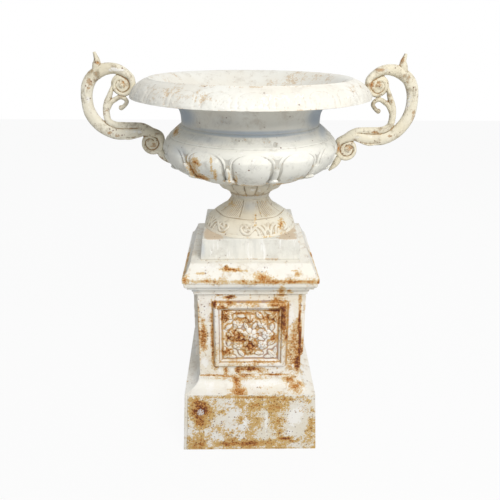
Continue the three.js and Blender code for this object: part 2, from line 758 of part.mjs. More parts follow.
// A handle on the right of the urn. It is drawn in millimetres from the middle of its upper scroll, and
// what hangs below is stretched so that the middle of the lower scroll comes to its own place.
function handle(seat) {
  const upper = at(lipSeat.point.x + UPPER_SCROLL_OUT, lipSeat.point.z + UPPER_SCROLL_RISE);
  const lower = at(seat.point.x + LOWER_SCROLL_OUT, seat.point.z + LOWER_SCROLL_RISE);
  const stretch = (upper.y - lower.y) / DRAWN_DROP;
  const lean = upper.x - lower.x - DRAWN_INSET;
  const put = (x, y) => {
    const fall = Math.max(0, -y / DRAWN_DROP);
    const out = x > 0 ? (x * HANDLE_REACH) / DRAWN_REACH : x;
    return at(upper.x + out - lean * fall, upper.y + (y > 0 ? y : y * stretch));
  };
  const foot = (x, y) => put(x - DRAWN_INSET, y - DRAWN_DROP);
  const arm = [
    ...spiral(upper, { angle: 3.6 * Math.PI, radius: 8 }, { angle: 0.75 * Math.PI, radius: 29 }, 17),
    put(4, 36),
    put(32, 38),
    put(58, 28),
    put(78, 10),
    put(90, -20),
    put(90, -53),
    put(79, -80),
    put(58, -101),
    put(28, -113),
    put(0, -114),
    put(-28, -112),
    put(-50, -112),
    ...spiral(lower, { angle: 0.72 * Math.PI, radius: 28 }, { angle: 3.3 * Math.PI, radius: 8 }, 14),
  ];
  const armSizes = [3.5, 4.5, 5, 6.5, 11, 14.5, 15, 15.5, 15.5, 18, 22, 20, 13.5, 7.5, 6, 4.5, 3.5];
  const tip = (x, share) => put(x, 28 + (FINIAL_HEIGHT - 28) * share);
  const finial = [tip(52, 0), tip(58, 0.33), tip(62, 0.61), tip(56, 0.86), tip(57, 1)];
  const bud = [tip(46, 0), tip(46, 0.3), tip(49, 0.6)];
  const leaf = [put(44, -100), put(44, -80), put(44, -57), put(40, -42), put(31, -22), put(22, 2)];
  const hookStart = [put(42, -60), put(32, -44), put(20, -36)];
  const hook = [...hookStart, put(7, -30), put(-5, -34), put(-9, -43), put(3, -56)];
  const tail = [foot(-19, -14), foot(-26, -32), foot(-34, -42), foot(-44, -52)];
  const pad = (place) => aimed(bar(PAD_RADIUS, -3, PAD_LENGTH, SCREW_SEGMENTS), place.point, place.out);
  const body = [
    strand(arm, ARM_STEPS, armSizes),
    strand(finial, 6, [11, 9, 6, 3.5, 3], LEAF_SIDES),
    strand(bud, 3, [10, 9, 3], LEAF_SIDES, 0.8),
    strand(leaf, 8, [11, 9, 8.5, 8, 6, 2], LEAF_SIDES, 0.75),
    strand(hook, 10, [7, 7, 6, 5.5, 5, 4.5], LEAF_SIDES, 0.6),
    strand(tail, 5, [8, 10, 6.5, 2], LEAF_SIDES, 0.8),
    ball(upper, EYE_RADIUS),
    ball(lower, EYE_RADIUS),
    ball(put(6, -56), BERRY_RADIUS),
    pad(lipSeat),
    pad(seat),
  ].reduce((joined, piece) => joined.add(piece));
  const tapped = (place) =>
    aimed(bar(SCREW_RADIUS + SEAT, -3, SCREW_GRIP + 1, SCREW_SEGMENTS), place.point, place.out);
  return body.subtract(urnEnvelope()).subtract(tapped(lipSeat)).subtract(tapped(seat));
}

// The outside of lip and bowl, grown by a clearance, which no handle enters.
function urnEnvelope() {
  const grown = (outline) => outline.map((p) => at(p.x + 2 * SEAT, p.y));
  const lip = grown(rimUpper().slice(0, LIP_STEPS + 1));
  const underLip = [at(NECK_RADIUS, lipEdge - SEAT), at(lip[0].x, lipEdge - SEAT)];
  const lipPart = turned([...underLip, ...lip, at(NECK_RADIUS, crest)], RIM_SEGMENTS);
  const outer = bowlOuter();
  const core = [at(COLLAR_RADIUS, bowlTop), at(COLLAR_RADIUS, bowlBase)];
  return lipPart.add(turned([...grown(outer), ...core], BOWL_SEGMENTS, gadroonRelief(outer)));
}

// A screw from inside the casting into the handle, with its washer.
function screw(place, wall) {
  const under = -(wall + SEAT + SCREW_WASHER_THICKNESS + SEAT);
  const head = bar(SCREW_HEAD_RADIUS, under - SCREW_HEAD_HEIGHT, under, SCREW_SEGMENTS);
  const shank = bar(SCREW_RADIUS, under - 1, SCREW_GRIP, SCREW_SEGMENTS);
  return aimed(head.add(shank), place.point, place.out);
}

function screwWasher(place, wall) {
  const top = -(wall + SEAT);
  const ring = bar(SCREW_WASHER_RADIUS, top - SCREW_WASHER_THICKNESS, top, SCREW_SEGMENTS);
  const hole = bar(SCREW_RADIUS + SEAT, top - SCREW_WASHER_THICKNESS - 1, top + 1, SCREW_SEGMENTS);
  return aimed(ring.subtract(hole), place.point, place.out);
}

// A screw's hole through a casting, with a flat spot inside for its washer.
function drill(place, wall, turn) {
  const hole = bar(SCREW_RADIUS + ROD_PLAY, -2 * wall, wall, SCREW_SEGMENTS);
  const spot = bar(SCREW_WASHER_RADIUS + 1, -2 * wall, -wall, SCREW_SEGMENTS + 2);
  return aimed(hole.add(spot), place.point, place.out).rotate(0, 0, THREE.MathUtils.radToDeg(turn));
}

const hands = [
  { side: "right", turn: 0, seat: bellySeat(HANDLE_DROP) },
  { side: "left", turn: Math.PI, seat: bellySeat(0) },
];
let bowlBody = bowl();
let rimBody = rim();
for (const { side, turn, seat } of hands) {
  bowlBody = bowlBody.subtract(drill(seat, BOWL_WALL, turn));
  rimBody = rimBody.subtract(drill(lipSeat, RIM_WALL, turn));
  add(`handle_${side}`, handle(seat), tanPaint(), turn);
  add(`lip_screw_${side}`, screw(lipSeat, RIM_WALL), bareIron(), turn);
  add(`lip_washer_${side}`, screwWasher(lipSeat, RIM_WALL), bareIron(), turn);
  add(`belly_screw_${side}`, screw(seat, BOWL_WALL), bareIron(), turn);
  add(`belly_washer_${side}`, screwWasher(seat, BOWL_WALL), bareIron(), turn);
}
add("urn_bowl", bowlBody, creamPaint());
add("urn_rim", rimBody, creamPaint());

export default group;
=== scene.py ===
"""A worn cast-iron garden urn with scroll handles, on its square panelled pedestal.

Every casting is a surface worked out with numpy around the fixed CAD frame. All sizes are in
millimetres in the frame's own axes (+Z up, the front faces -Y) and become metres in Skin.write.
"""

import logging
import math
from dataclasses import dataclass, field
from enum import Enum
from typing import Callable, Sequence

import bpy
import numpy as np
from mathutils import Matrix, Vector


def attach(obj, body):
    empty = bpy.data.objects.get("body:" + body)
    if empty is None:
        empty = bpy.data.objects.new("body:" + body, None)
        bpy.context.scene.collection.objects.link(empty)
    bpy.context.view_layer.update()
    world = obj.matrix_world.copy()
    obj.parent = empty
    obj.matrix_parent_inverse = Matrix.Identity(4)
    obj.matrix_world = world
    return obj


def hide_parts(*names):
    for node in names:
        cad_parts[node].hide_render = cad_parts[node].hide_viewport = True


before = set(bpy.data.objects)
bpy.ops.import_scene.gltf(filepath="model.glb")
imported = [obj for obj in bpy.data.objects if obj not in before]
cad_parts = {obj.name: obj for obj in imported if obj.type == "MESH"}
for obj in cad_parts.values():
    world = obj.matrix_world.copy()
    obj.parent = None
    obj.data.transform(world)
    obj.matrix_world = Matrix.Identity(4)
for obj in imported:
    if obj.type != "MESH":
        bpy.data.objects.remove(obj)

Array = np.ndarray
Colour = tuple[float, float, float]
MM = 0.001
HASH_AXES = np.array([73856093, 19349663, 83492791])
HASH_SEED = 2654435761
HASH_MIX = 1274126177
HOLLOW_SPAN = 4.0  # millimetres between the deepest hollow and the sharpest edge that paint tells apart
NEVER = 99  # millimetres that sink a form below all others where it isn't
log = logging.getLogger("urn")


class Side(Enum):
    """The four sides of the pedestal, as quarter turns from the front."""

    FRONT = 0
    RIGHT = 1
    BACK = 2
    LEFT = 3

    @property
    def label(self) -> str:
        """The side's name as the frame's nodes spell it."""
        return self.name.lower()


# ---------------------------------------------------------------- numbers


def smooth(low: float, high: float, value: Array) -> Array:
    """0 below low, 1 above high, and an S-shaped rise 3t^2 - 2t^3 between them."""
    t = np.clip((value - low) / (high - low), 0.0, 1.0)
    return t * t * (3 - 2 * t)


def value_noise(points: Array, size: float, seed: int) -> Array:
    """Smooth noise: a random number at each corner of a cubic lattice, blended between corners.

    Args:
        points: Places in millimetres, in the last axis.
        size: Edge of a lattice cell.
        seed: Picks one of many patterns.

    Returns:
        Numbers from -1 to 1, one for each place.
    """
    cell = points / size
    base = np.floor(cell).astype(np.int64)
    share = cell - base
    share = share * share * (3 - 2 * share)
    total = np.zeros(points.shape[:-1])
    for corner in range(8):
        step = np.array([corner & 1, corner >> 1 & 1, corner >> 2 & 1])
        key = (base + step) @ HASH_AXES + seed * HASH_SEED
        key = (key ^ key >> 13) * HASH_MIX & 0xFFFFFFFF
        key = (key ^ key >> 16) & 0xFFFF
        weight = np.prod(np.where(step == 1, share, 1 - share), axis=-1)
        total += weight * (key / 32767.5 - 1)
    return total


def fractal(points: Array, size: float, seed: int, octaves: int = 3) -> Array:
    """Sums value noise whose cells and strength halve at each octave, scaled back to about -1..1."""
    layers = [value_noise(points, size / 2**i, seed + i) * 0.5**i for i in range(octaves)]
    return sum(layers) / (2 - 0.5 ** (octaves - 1))


def hill(value: Array, width: float) -> Array:
    """A soft ridge exp(-(value / width)^2): 1 at 0, falling away on both sides."""
    return np.exp(-((value / width) ** 2))


def arch(value: Array, half: float | Array) -> Array:
    """The height of a half circle, sqrt(1 - (value / half)^2): 1 at 0, and 0 past the half width."""
    return np.sqrt(np.clip(1 - (value / half) ** 2, 0, 1))


def walk(path: Array) -> Array:
    """The distance walked from the start of a path to each of its points."""
    return np.concatenate([[0], np.cumsum(np.linalg.norm(np.diff(path, axis=0), axis=1))])


def bend(a: Sequence[float], towards: Sequence[float], b: Sequence[float], steps: int) -> Array:
    """Points of a parabola that leaves a towards the bend and arrives at b from it."""
    t = np.linspace(0, 1, steps + 1)[:, None]
    return (1 - t) ** 2 * np.array(a) + 2 * t * (1 - t) * np.array(towards) + t**2 * np.array(b)


def through(points: Sequence[Sequence[float]], steps: int) -> Array:
    """Points of a smooth curve through the given ones: a uniform Catmull-Rom cubic between each two."""
    p = np.array(points, float)
    p = np.vstack([p[0], p, p[-1]])
    place = np.linspace(0, len(p) - 3, steps + 1)
    i = np.minimum(place.astype(int), len(p) - 4)
    t = (place - i)[:, None]
    a, b, c, d = p[i], p[i + 1], p[i + 2], p[i + 3]
    lean, swing = (c - a) / 2, (d - b) / 2
    return (2 * b - 2 * c + lean + swing) * t**3 + (3 * c - 3 * b - 2 * lean - swing) * t**2 + lean * t + b


def evenly(path: Array, count: int) -> Array:
    """The same path as count points that are even distances apart along it."""
    walked = walk(path)
    places = np.linspace(0, walked[-1], count)
    return np.stack([np.interp(places, walked, path[:, k]) for k in range(path.shape[1])], axis=1)


def beside(path: Array, distance: float) -> Array:
    """Moves an open outline to its left, as it is walked, square to its own direction."""
    along = np.gradient(path, axis=0)
    along /= np.linalg.norm(along, axis=1, keepdims=True)
    return path + distance * np.stack([-along[:, 1], along[:, 0]], axis=1)


def eased(outline: Array, radius: float) -> Array:
    """Rounds each corner of an open outline: it is cut at the radius on both sides, at most 0.4 of an
    edge, and joined by a parabola through the cut points."""
    rows = [outline[:1]]
    for before, corner, after in zip(outline, outline[1:], outline[2:]):
        back, ahead = before - corner, after - corner
        cut = [v / np.linalg.norm(v) * min(radius, 0.4 * np.linalg.norm(v)) for v in (back, ahead)]
        rows.append(bend(corner + cut[0], corner, corner + cut[1], 3))
    return np.vstack([*rows, outline[-1:]])


def dense(outline: Array, step: float) -> Array:
    """Adds points to an open outline so that no two neighbours are further apart than the step."""
    rows = []
    for a, b in zip(outline, outline[1:]):
        count = max(1, math.ceil(np.linalg.norm(b - a) / step))
        rows.append(a + (b - a) * np.arange(count)[:, None] / count)
    return np.vstack([*rows, outline[-1:]])


# ---------------------------------------------------------------- marks: stains, painted shade and a painted highlight


@dataclass(frozen=True)
class Stain:
    """A soft mark on the side that faces the front: its middle, its half sizes and its strength."""

    x: float
    z: float
    wide: float
    high: float
    strength: float = 1.0


@dataclass(frozen=True)
class Weather:
    """Where one casting is rusty, grey or pale.

    rust, grey and pale are placed marks; some grey marks are painted shade, one pale mark is a
    painted highlight and one thin rust mark is partly a painted shadow. rust_all is rust everywhere,
    and rust_patches adds more in patches of that size. reach is how many rounds of levelling find
    the hollows that the paint darkens, as dirt and as painted shade.
    """

    rust: tuple[Stain, ...] = ()
    grey: tuple[Stain, ...] = ()
    pale: tuple[Stain, ...] = ()
    rust_all: float = 0.1
    rust_patches: float = 0.25
    patch_size: float = 60.0
    seed: int = 1
    reach: int = 8

    def channels(self, points: Array) -> Array:
        """Works out the three marks for each point, in millimetres.

        A placed mark is its strength times exp(-(dx/wide)^2 - (dz/high)^2), on points in front of
        the axis only. Patches are where slow noise is high, and are weaker in front.

        Args:
            points: The mesh's points, (n, 3).

        Returns:
            (n, 3) numbers for rust, grey and pale.
        """
        front = (points[:, 1] < 0).astype(float)
        slow = fractal(points, self.patch_size, self.seed)
        marks = []
        for placed in (self.rust, self.grey, self.pale):
            total = np.zeros(len(points))
            for s in placed:
                u = (points[:, 0] - s.x) / s.wide
                v = (points[:, 2] - s.z) / s.high
                total = np.maximum(total, s.strength * np.exp(-u * u - v * v))
            marks.append(total * front)
        patches = self.rust_patches * smooth(0.15, 0.6, slow) * np.where(front > 0.5, 0.45, 1.0)
        marks[0] = marks[0] + patches + self.rust_all
        return np.stack(marks, axis=1)


# ---------------------------------------------------------------- meshes


@dataclass
class Skin:
    """Collects closed sheets of points, in millimetres, and writes them as one object's mesh."""

    points: list[Array] = field(default_factory=list)
    faces: list[Array] = field(default_factory=list)
    count: int = 0

    def _keep(self, points: Array, faces: Sequence[Array]) -> None:
        """Adds points and the faces among them."""
        self.points.append(points)
        self.faces.extend(face + self.count for face in faces)
        self.count += len(points)

    def ring(self, grid: Array) -> None:
        """Adds a grid (rings, around, 3) that closes in both directions, walked anticlockwise."""
        self._keep(grid.reshape(-1, 3), [self._quads(*grid.shape[:2], True)])

    def loft(self, grid: Array) -> None:
        """Adds a tube of rings (rings, around, 3) with a flat face on each end."""
        rings, around = grid.shape[:2]
        foot = np.arange(around)[::-1][None]
        head = (np.arange(around) + (rings - 1) * around)[None]
        self._keep(grid.reshape(-1, 3), [self._quads(rings, around, False), foot, head])

    def slab(self, face: Array, thickness: Array) -> None:
        """Adds a plate: a face grid (up, across, 3) that looks along -Y, and a flat back.

        Args:
            face: Points of the front face, rows going up and columns going to +X.
            thickness: The vector from the face's edge to the back.
        """
        rows, columns = face.shape[:2]
        index = np.arange(rows * columns).reshape(rows, columns)
        edge = np.concatenate([index[0, :-1], index[:-1, -1], index[-1, :0:-1], index[:0:-1, 0]])
        flat = face.reshape(-1, 3)
        back = flat[edge] + thickness
        around = np.arange(len(edge))
        behind = around + rows * columns
        a, b, c, d = index[:-1, :-1], index[:-1, 1:], index[1:, 1:], index[1:, :-1]
        front = np.stack([a, b, c, d], axis=-1).reshape(-1, 4)
        sides = np.stack([edge, behind, np.roll(behind, -1), np.roll(edge, -1)], axis=-1)
        self._keep(np.vstack([flat, back]), [front, sides, behind[::-1][None]])

    @staticmethod
    def _quads(rings: int, around: int, closed: bool) -> Array:
        """Quads between neighbouring rings of a grid, and from the last ring to the first if closed."""
        i = np.arange(rings if closed else rings - 1)[:, None] * around
        j = np.arange(around)[None]
        above = (i + around) % (rings * around)
        after = (j + 1) % around
        return np.stack([i + j, i + after, above + after, above + j], axis=-1).reshape(-1, 4)

    def write(self, name: str, turn: float = 0.0, sharp: float = 40.0) -> bpy.types.Object:
        """Makes the object, in metres, turned about Z, with edges sharper than an angle kept crisp.

        Args:
            name: The piece's name.
            turn: Turn about Z in radians.
            sharp: Degrees between two faces past which the edge shades sharp.

        Returns:
            The new object, at the origin.
        """
        points = np.vstack(self.points) @ np.array(Matrix.Rotation(turn, 3, "Z")).T
        mesh = bpy.data.meshes.new(name)
        mesh.vertices.add(len(points))
        mesh.vertices.foreach_set("co", (points * MM).astype(np.float32).ravel())
        corners = np.concatenate([face.ravel() for face in self.faces])
        sizes = np.concatenate([np.full(len(face), face.shape[1]) for face in self.faces])
        mesh.loops.add(len(corners))
        mesh.loops.foreach_set("vertex_index", corners.astype(np.int32))
        mesh.polygons.add(len(sizes))
        starts = np.concatenate([[0], np.cumsum(sizes)[:-1]])
        mesh.polygons.foreach_set("loop_start", starts.astype(np.int32))
        mesh.polygons.foreach_set("use_smooth", np.ones(len(sizes), bool))
        mesh.update(calc_edges=True)
        mesh.validate()
        mesh.set_sharp_from_angle(angle=math.radians(sharp))
        piece = bpy.data.objects.new(name, mesh)
        bpy.context.scene.collection.objects.link(piece)
        return piece


def points_of(piece: bpy.types.Object) -> Array:
    """The places of a mesh's points in millimetres, (n, 3)."""
    places = np.empty(len(piece.data.vertices) * 3, np.float32)
    piece.data.vertices.foreach_get("co", places)
    return places.reshape(-1, 3).astype(float) / MM


def sunk(piece: bpy.types.Object, rounds: int) -> Array:
    """How deep each point lies in a hollow, in millimetres; negative on edges and ridges.

    All points are moved to the mean of themselves and their neighbours that many times over;
    more rounds find wider hollows. The depth is how far a point has moved along its own outward
    normal by then.
    """
    mesh = piece.data
    points = points_of(piece)
    ends = np.empty(len(mesh.edges) * 2, np.int32)
    mesh.edges.foreach_get("vertices", ends)
    normals = np.empty(len(points) * 3, np.float32)
    mesh.vertex_normals.foreach_get("vector", normals)
    a, b = ends.reshape(-1, 2).T
    count = len(points)
    near = 1 + np.bincount(a, minlength=count) + np.bincount(b, minlength=count)
    moved = points.copy()
    for _ in range(rounds):
        total = [axis + np.bincount(a, axis[b], count) + np.bincount(b, axis[a], count) for axis in moved.T]
        moved = np.stack(total, axis=1) / near[:, None]
    return np.einsum("ij,ij->i", moved - points, normals.reshape(-1, 3))


def marked(piece: bpy.types.Object, weather: Weather) -> None:
    """Writes the point attribute that the paint reads: rust, grey, pale, and 0.5 + depth / span."""
    depth = np.clip(0.5 + sunk(piece, weather.reach) / HOLLOW_SPAN, 0, 1)
    values = np.column_stack([weather.channels(points_of(piece)), depth])
    marks = piece.data.attributes.new("marks", "FLOAT_COLOR", "POINT")
    marks.data.foreach_set("color", values.astype(np.float32).ravel())


def square_ring(outline: Array, corner: float, per_side: int, hole: float) -> Array:
    """Carries an outline of (half width, height) round a square with rounded corners.

    A point of the ring is (half - corner) times a point of the unit square plus corner times the
    outward direction there. Where the half width is the hole's radius, the ring is a circle.

    Args:
        outline: Closed outline, walked anticlockwise, (n, 2).
        corner: Radius of the four upright corners.
        per_side: Points along one side.
        hole: Half width at and below which the ring is round.

    Returns:
        A grid (n, around, 3).
    """
    along = np.linspace(-1, 1, per_side)
    arc = np.radians(np.linspace(0, 90, 6)[1:-1])
    side = np.stack([np.ones(per_side), along], axis=1)
    square = np.vstack([side, np.ones((len(arc), 2))])
    facing = np.vstack([np.tile([1.0, 0.0], (per_side, 1)), np.stack([np.cos(arc), np.sin(arc)], axis=1)])
    quarter = np.array([[0.0, 1.0], [-1.0, 0.0]])
    turns = [np.linalg.matrix_power(quarter, i) for i in range(4)]
    square = np.vstack([square @ turn for turn in turns])
    facing = np.vstack([facing @ turn for turn in turns])
    half = outline[:, 0][:, None, None]
    radius = np.minimum(corner, half)
    plan = (half - radius) * square + radius * facing
    spoke = np.arctan2(square[:, 1] + 0.02 * facing[:, 1], square[:, 0] + 0.02 * facing[:, 0])
    circle = half * np.stack([np.cos(spoke), np.sin(spoke)], axis=1)
    plan = np.where(half <= hole, circle, plan)
    height = np.broadcast_to(outline[:, 1][:, None, None], (*plan.shape[:2], 1))
    return np.concatenate([plan, height], axis=2)


def round_ring(outline: Array, around: int, relief: Callable[[Array, Array], Array] | None = None) -> Array:
    """Turns a closed outline of (radius, height) about Z.

    Args:
        outline: Closed outline, walked anticlockwise, (n, 2).
        around: Points round one turn.
        relief: Gives how far points move out from the axis, from their row and their angle.

    Returns:
        A grid (n, around, 3).
    """
    angle = np.linspace(0, 2 * np.pi, around, endpoint=False)[None]
    radius = outline[:, 0][:, None] + np.zeros_like(angle)
    if relief is not None:
        radius = radius + relief(np.arange(len(outline))[:, None], angle)
    height = outline[:, 1][:, None] + np.zeros_like(angle)
    return np.stack([radius * np.cos(angle), radius * np.sin(angle), height], axis=-1)


def roughened(grid: Array, depth: float, size: float, seed: int, outer: int | None = None) -> Array:
    """Moves points in towards the axis by fractal noise, as sand casting leaves a skin uneven."""
    rows = slice(None, outer)
    part = grid[rows]
    amount = depth * (fractal(part, size, seed) - 1) / 2
    flat = np.linalg.norm(part[..., :2], axis=-1, keepdims=True)
    moved = grid.copy()
    moved[rows, :, :2] = part[..., :2] * (1 + amount[..., None] / np.maximum(flat, 1))
    return moved


def nearest(u: Array, v: Array, path: Array) -> tuple[Array, Array]:
    """The distance from each place (u, v) to a path, and the share of the path walked there."""
    best = np.full(u.shape, 1e9)
    share = np.zeros(u.shape)
    for i, (a, b) in enumerate(zip(path, path[1:])):
        d = b - a
        t = np.clip(((u - a[0]) * d[0] + (v - a[1]) * d[1]) / (d @ d), 0, 1)
        gap = np.hypot(u - a[0] - t * d[0], v - a[1] - t * d[1])
        closer = gap < best
        best = np.where(closer, gap, best)
        share = np.where(closer, (i + t) / (len(path) - 1), share)
    return best, share


# ---------------------------------------------------------------- shader maths


class Wire:
    """A shader value that takes part in ordinary Python sums, each adding a Math node."""

    def __init__(self, nodes: "Nodes", socket: "bpy.types.NodeSocket | None") -> None:
        """Wraps one output socket; a node at the end of its tree has none."""
        self.nodes = nodes
        self.socket = socket

    def _math(self, operation: str, first: "Wire | float", second: "Wire | float") -> "Wire":
        """Adds one Math node."""
        return self.nodes.node("ShaderNodeMath", {"operation": operation}, {0: first, 1: second})

    def __add__(self, other: "Wire | float") -> "Wire":
        """Sum."""
        return self._math("ADD", self, other)

    __radd__ = __add__

    def __mul__(self, other: "Wire | float") -> "Wire":
        """Product."""
        return self._math("MULTIPLY", self, other)

    __rmul__ = __mul__

    def __sub__(self, other: "Wire | float") -> "Wire":
        """Difference."""
        return self._math("SUBTRACT", self, other)

    def __rsub__(self, other: float) -> "Wire":
        """Difference from a number."""
        return self._math("SUBTRACT", other, self)

    def higher(self, other: "Wire | float") -> "Wire":
        """The larger of the two."""
        return self._math("MAXIMUM", self, other)

    def ease(self, low: float, high: float) -> "Wire":
        """0 at low, 1 at high, with a smooth rise between; low may be above high."""
        settings = {"interpolation_type": "SMOOTHSTEP"}
        return self.nodes.node("ShaderNodeMapRange", settings, {"Value": self, 1: low, 2: high})


class Nodes:
    """A node tree that is built from nothing, one node at a time."""

    def __init__(self, tree: bpy.types.NodeTree) -> None:
        """Takes a tree and empties it."""
        self.tree = tree
        self.tree.nodes.clear()

    def node(self, kind: str, settings: dict, inputs: dict, output: int | str = 0) -> Wire:
        """Adds a node: its settings first, then the values or links of its sockets.

        Args:
            kind: The node's type.
            settings: Attributes of the node, such as a Math node's operation.
            inputs: Values or wires for sockets, by name or number.
            output: The output socket to hand back.

        Returns:
            That output, as a wire.
        """
        node = self.tree.nodes.new(kind)
        for key, value in settings.items():
            setattr(node, key, value)
        for key, value in inputs.items():
            if isinstance(value, Wire):
                self.tree.links.new(value.socket, node.inputs[key])
            else:
                node.inputs[key].default_value = value
        return Wire(self, node.outputs[output] if node.outputs else None)


class Shader(Nodes):
    """One node material with a Principled surface."""

    def __init__(self, name: str) -> None:
        """Starts an empty material of that name."""
        self.material = bpy.data.materials.new(name)
        self.material.use_nodes = True
        super().__init__(self.material.node_tree)
        self.output = self.tree.nodes.new("ShaderNodeOutputMaterial")
        self.surface = self.tree.nodes.new("ShaderNodeBsdfPrincipled")
        self.show(Wire(self, self.surface.outputs[0]))

    def show(self, look: Wire) -> None:
        """Makes that the look of the whole material."""
        self.tree.links.new(look.socket, self.output.inputs[0])

    def place(self) -> Wire:
        """The place of a point in the object's own space."""
        return self.node("ShaderNodeTexCoord", {}, {}, "Object")

    def bump(self, height: Wire, strength: float, distance: float) -> None:
        """Makes the surface look as uneven as a height, over a distance in metres."""
        inputs = {"Height": height, "Strength": strength, "Distance": distance}
        self.connect("Normal", self.node("ShaderNodeBump", {}, inputs))

    def noise(self, place: Wire, scale: float, detail: float = 3.0, rough: float = 0.55) -> Wire:
        """Noise from 0 to 1 at a place."""
        inputs = {"Vector": place, "Scale": scale, "Detail": detail, "Roughness": rough}
        return self.node("ShaderNodeTexNoise", {}, inputs)

    def blend(self, factor: Wire | float, under: Wire | Colour, over: Wire | Colour) -> Wire:
        """A colour mix: under where the factor is 0, over where it is 1."""
        under, over = (c if isinstance(c, Wire) else (*c, 1) for c in (under, over))
        settings = {"data_type": "RGBA", "clamp_factor": True}
        return self.node("ShaderNodeMix", settings, {0: factor, 6: under, 7: over}, 2)

    def connect(self, name: str, value: Wire | float) -> None:
        """Sets or links one socket of the surface."""
        if isinstance(value, Wire):
            self.tree.links.new(value.socket, self.surface.inputs[name])
        else:
            self.surface.inputs[name].default_value = value


# ---------------------------------------------------------------- finishes

OCHRE = (0.62, 0.40, 0.12)
ORANGE = (0.50, 0.215, 0.045)
BROWN = (0.15, 0.042, 0.018)
COLD = (0.42, 0.48, 0.55)
WHITE = (0.90, 0.89, 0.86)
CHIPS = (0.62, 0.60, 0.58)
SPECK_CELLS = 140


@dataclass(frozen=True)
class WornPaint:
    """Old oil paint on cast iron: chalky, darkened in the hollows by dirt and painted shade, rusting through
    in flakes and specks.

    paint and shade are its two tones. The dirt colour fills patches by grime, and hollows by the
    hollow share, where it stands for dirt and for painted shade. Where
    rust starts, the veil covers the paint by the cover share, and deep is where orange rust starts.
    """

    name: str
    slot: str
    paint: Colour
    shade: Colour
    dirt_and_shade: Colour
    specks: float = 0.5
    hollow_dirt_and_shade: float = 0.6
    streaks: float = 0.0
    flaking: float = 1.0
    veil: Colour = OCHRE
    cover: float = 0.5
    deep: float = 0.58
    grime: float = 0.4

    def material(self) -> bpy.types.Material:
        """Builds the finish.

        rust = the rust mark + flaking * (noise - 1/2), read against rising limits for an ochre
        veil, orange rust and bare brown iron. Hollows are darkened towards the dirt colour, as dirt and as
        painted shade. Grey and pale marks tint the paint, and small cells give specks.

        Returns:
            The material.
        """
        sh = Shader(self.name)
        place = sh.place()
        marks = sh.node("ShaderNodeAttribute", {"attribute_name": "marks"}, {}, "Color")
        depth = sh.node("ShaderNodeAttribute", {"attribute_name": "marks"}, {}, "Alpha")
        rust, grey, pale = (
            sh.node("ShaderNodeSeparateColor", {}, {0: marks}, channel) for channel in range(3)
        )
        broad = sh.noise(place, 7, 4)
        patch = sh.noise(place, 34, 5, 0.62)
        flake = sh.noise(place, 130, 5, 0.68)
        grain = sh.noise(place, 360, 3, 0.6)
        # How deep the point lies in a hollow: the paint is darkened there, as dirt and as painted shade.
        hollow = depth.ease(0.51, 0.66)
        edge = depth.ease(0.46, 0.3)

        colour = sh.blend(broad.ease(0.35, 0.65), self.paint, self.shade)
        colour = sh.blend((patch + flake * 0.5).ease(0.72, 1.0) * self.grime, colour, self.dirt_and_shade)
        if self.streaks:
            drawn = sh.node("ShaderNodeMapping", {}, {0: place, 3: (1, 1, 0.12)})
            runs = sh.noise(drawn, 90, 4, 0.65)
            colour = sh.blend(runs.ease(0.46, 0.66) * self.streaks, colour, self.shade)
            colour = sh.blend(runs.ease(0.42, 0.3) * self.streaks, colour, WHITE)
        # Grey marks turn the paint a cold grey; where a casting's grey marks are painted shade, this tint is
        # painted shade.
        cold = (grey + (patch - 0.5) * 0.2 - 0.05).ease(0.1, 0.9)
        colour = sh.blend(cold, colour, COLD)
        # Pale marks and noise wear the paint white; where a pale mark is a painted highlight, this is one
        # too.
        worn = pale + (patch - 0.5) * 1.6 + (flake - 0.5) * 1.3 + (grain - 0.5) * 0.5
        colour = sh.blend(worn.ease(0.4, 0.6) * 0.7, colour, WHITE)
        # Painted shade and dirt: hollows and creases are darkened towards the dirt colour.
        colour = sh.blend((hollow * (0.55 + flake)).ease(0.1, 1.0) * self.hollow_dirt_and_shade, colour, self.dirt_and_shade)

        fine = (flake - 0.5) * 1.25 + (grain - 0.5) * 1.15
        spread = rust + ((patch - 0.5) * 1.1 + fine) * self.flaking
        spread = spread + hollow * (0.3 * self.hollow_dirt_and_shade) - edge * 0.05 - pale * 0.45
        veil = spread.ease(0.33, 0.45)
        orange = spread.ease(self.deep, self.deep + 0.22)
        bare = spread.ease(self.deep + 0.28, self.deep + 0.5)
        colour = sh.blend(veil * (self.cover + grain * 0.4), colour, self.veil)
        colour = sh.blend(orange, colour, ORANGE)
        colour = sh.blend(bare, colour, BROWN)

        pattern = {"Vector": place, "Scale": SPECK_CELLS, "Randomness": 1.0}
        cells, lots = (sh.node("ShaderNodeTexVoronoi", {}, pattern, output) for output in range(2))
        lot = sh.node("ShaderNodeSeparateColor", {}, {0: lots})
        crowd = lot + patch * 0.7 + rust * (0.55 * self.specks)
        spot = (cells + (grain - 0.5) * 0.9).ease(0.3, 0.16) * crowd.ease(1.36 - 0.2 * self.specks, 1.44)
        colour = sh.blend(spot * 0.9, colour, BROWN)
        sh.connect("Base Color", colour)
        sh.connect("Roughness", 0.62 + veil * 0.2 - cold * 0.08)
        sh.connect("Specular IOR Level", 0.35)
        sh.bump(grain * 0.4 + flake * 0.6 + (1 - orange) * 0.5 - spot * 0.6, 0.7, 0.0012)
        return sh.material


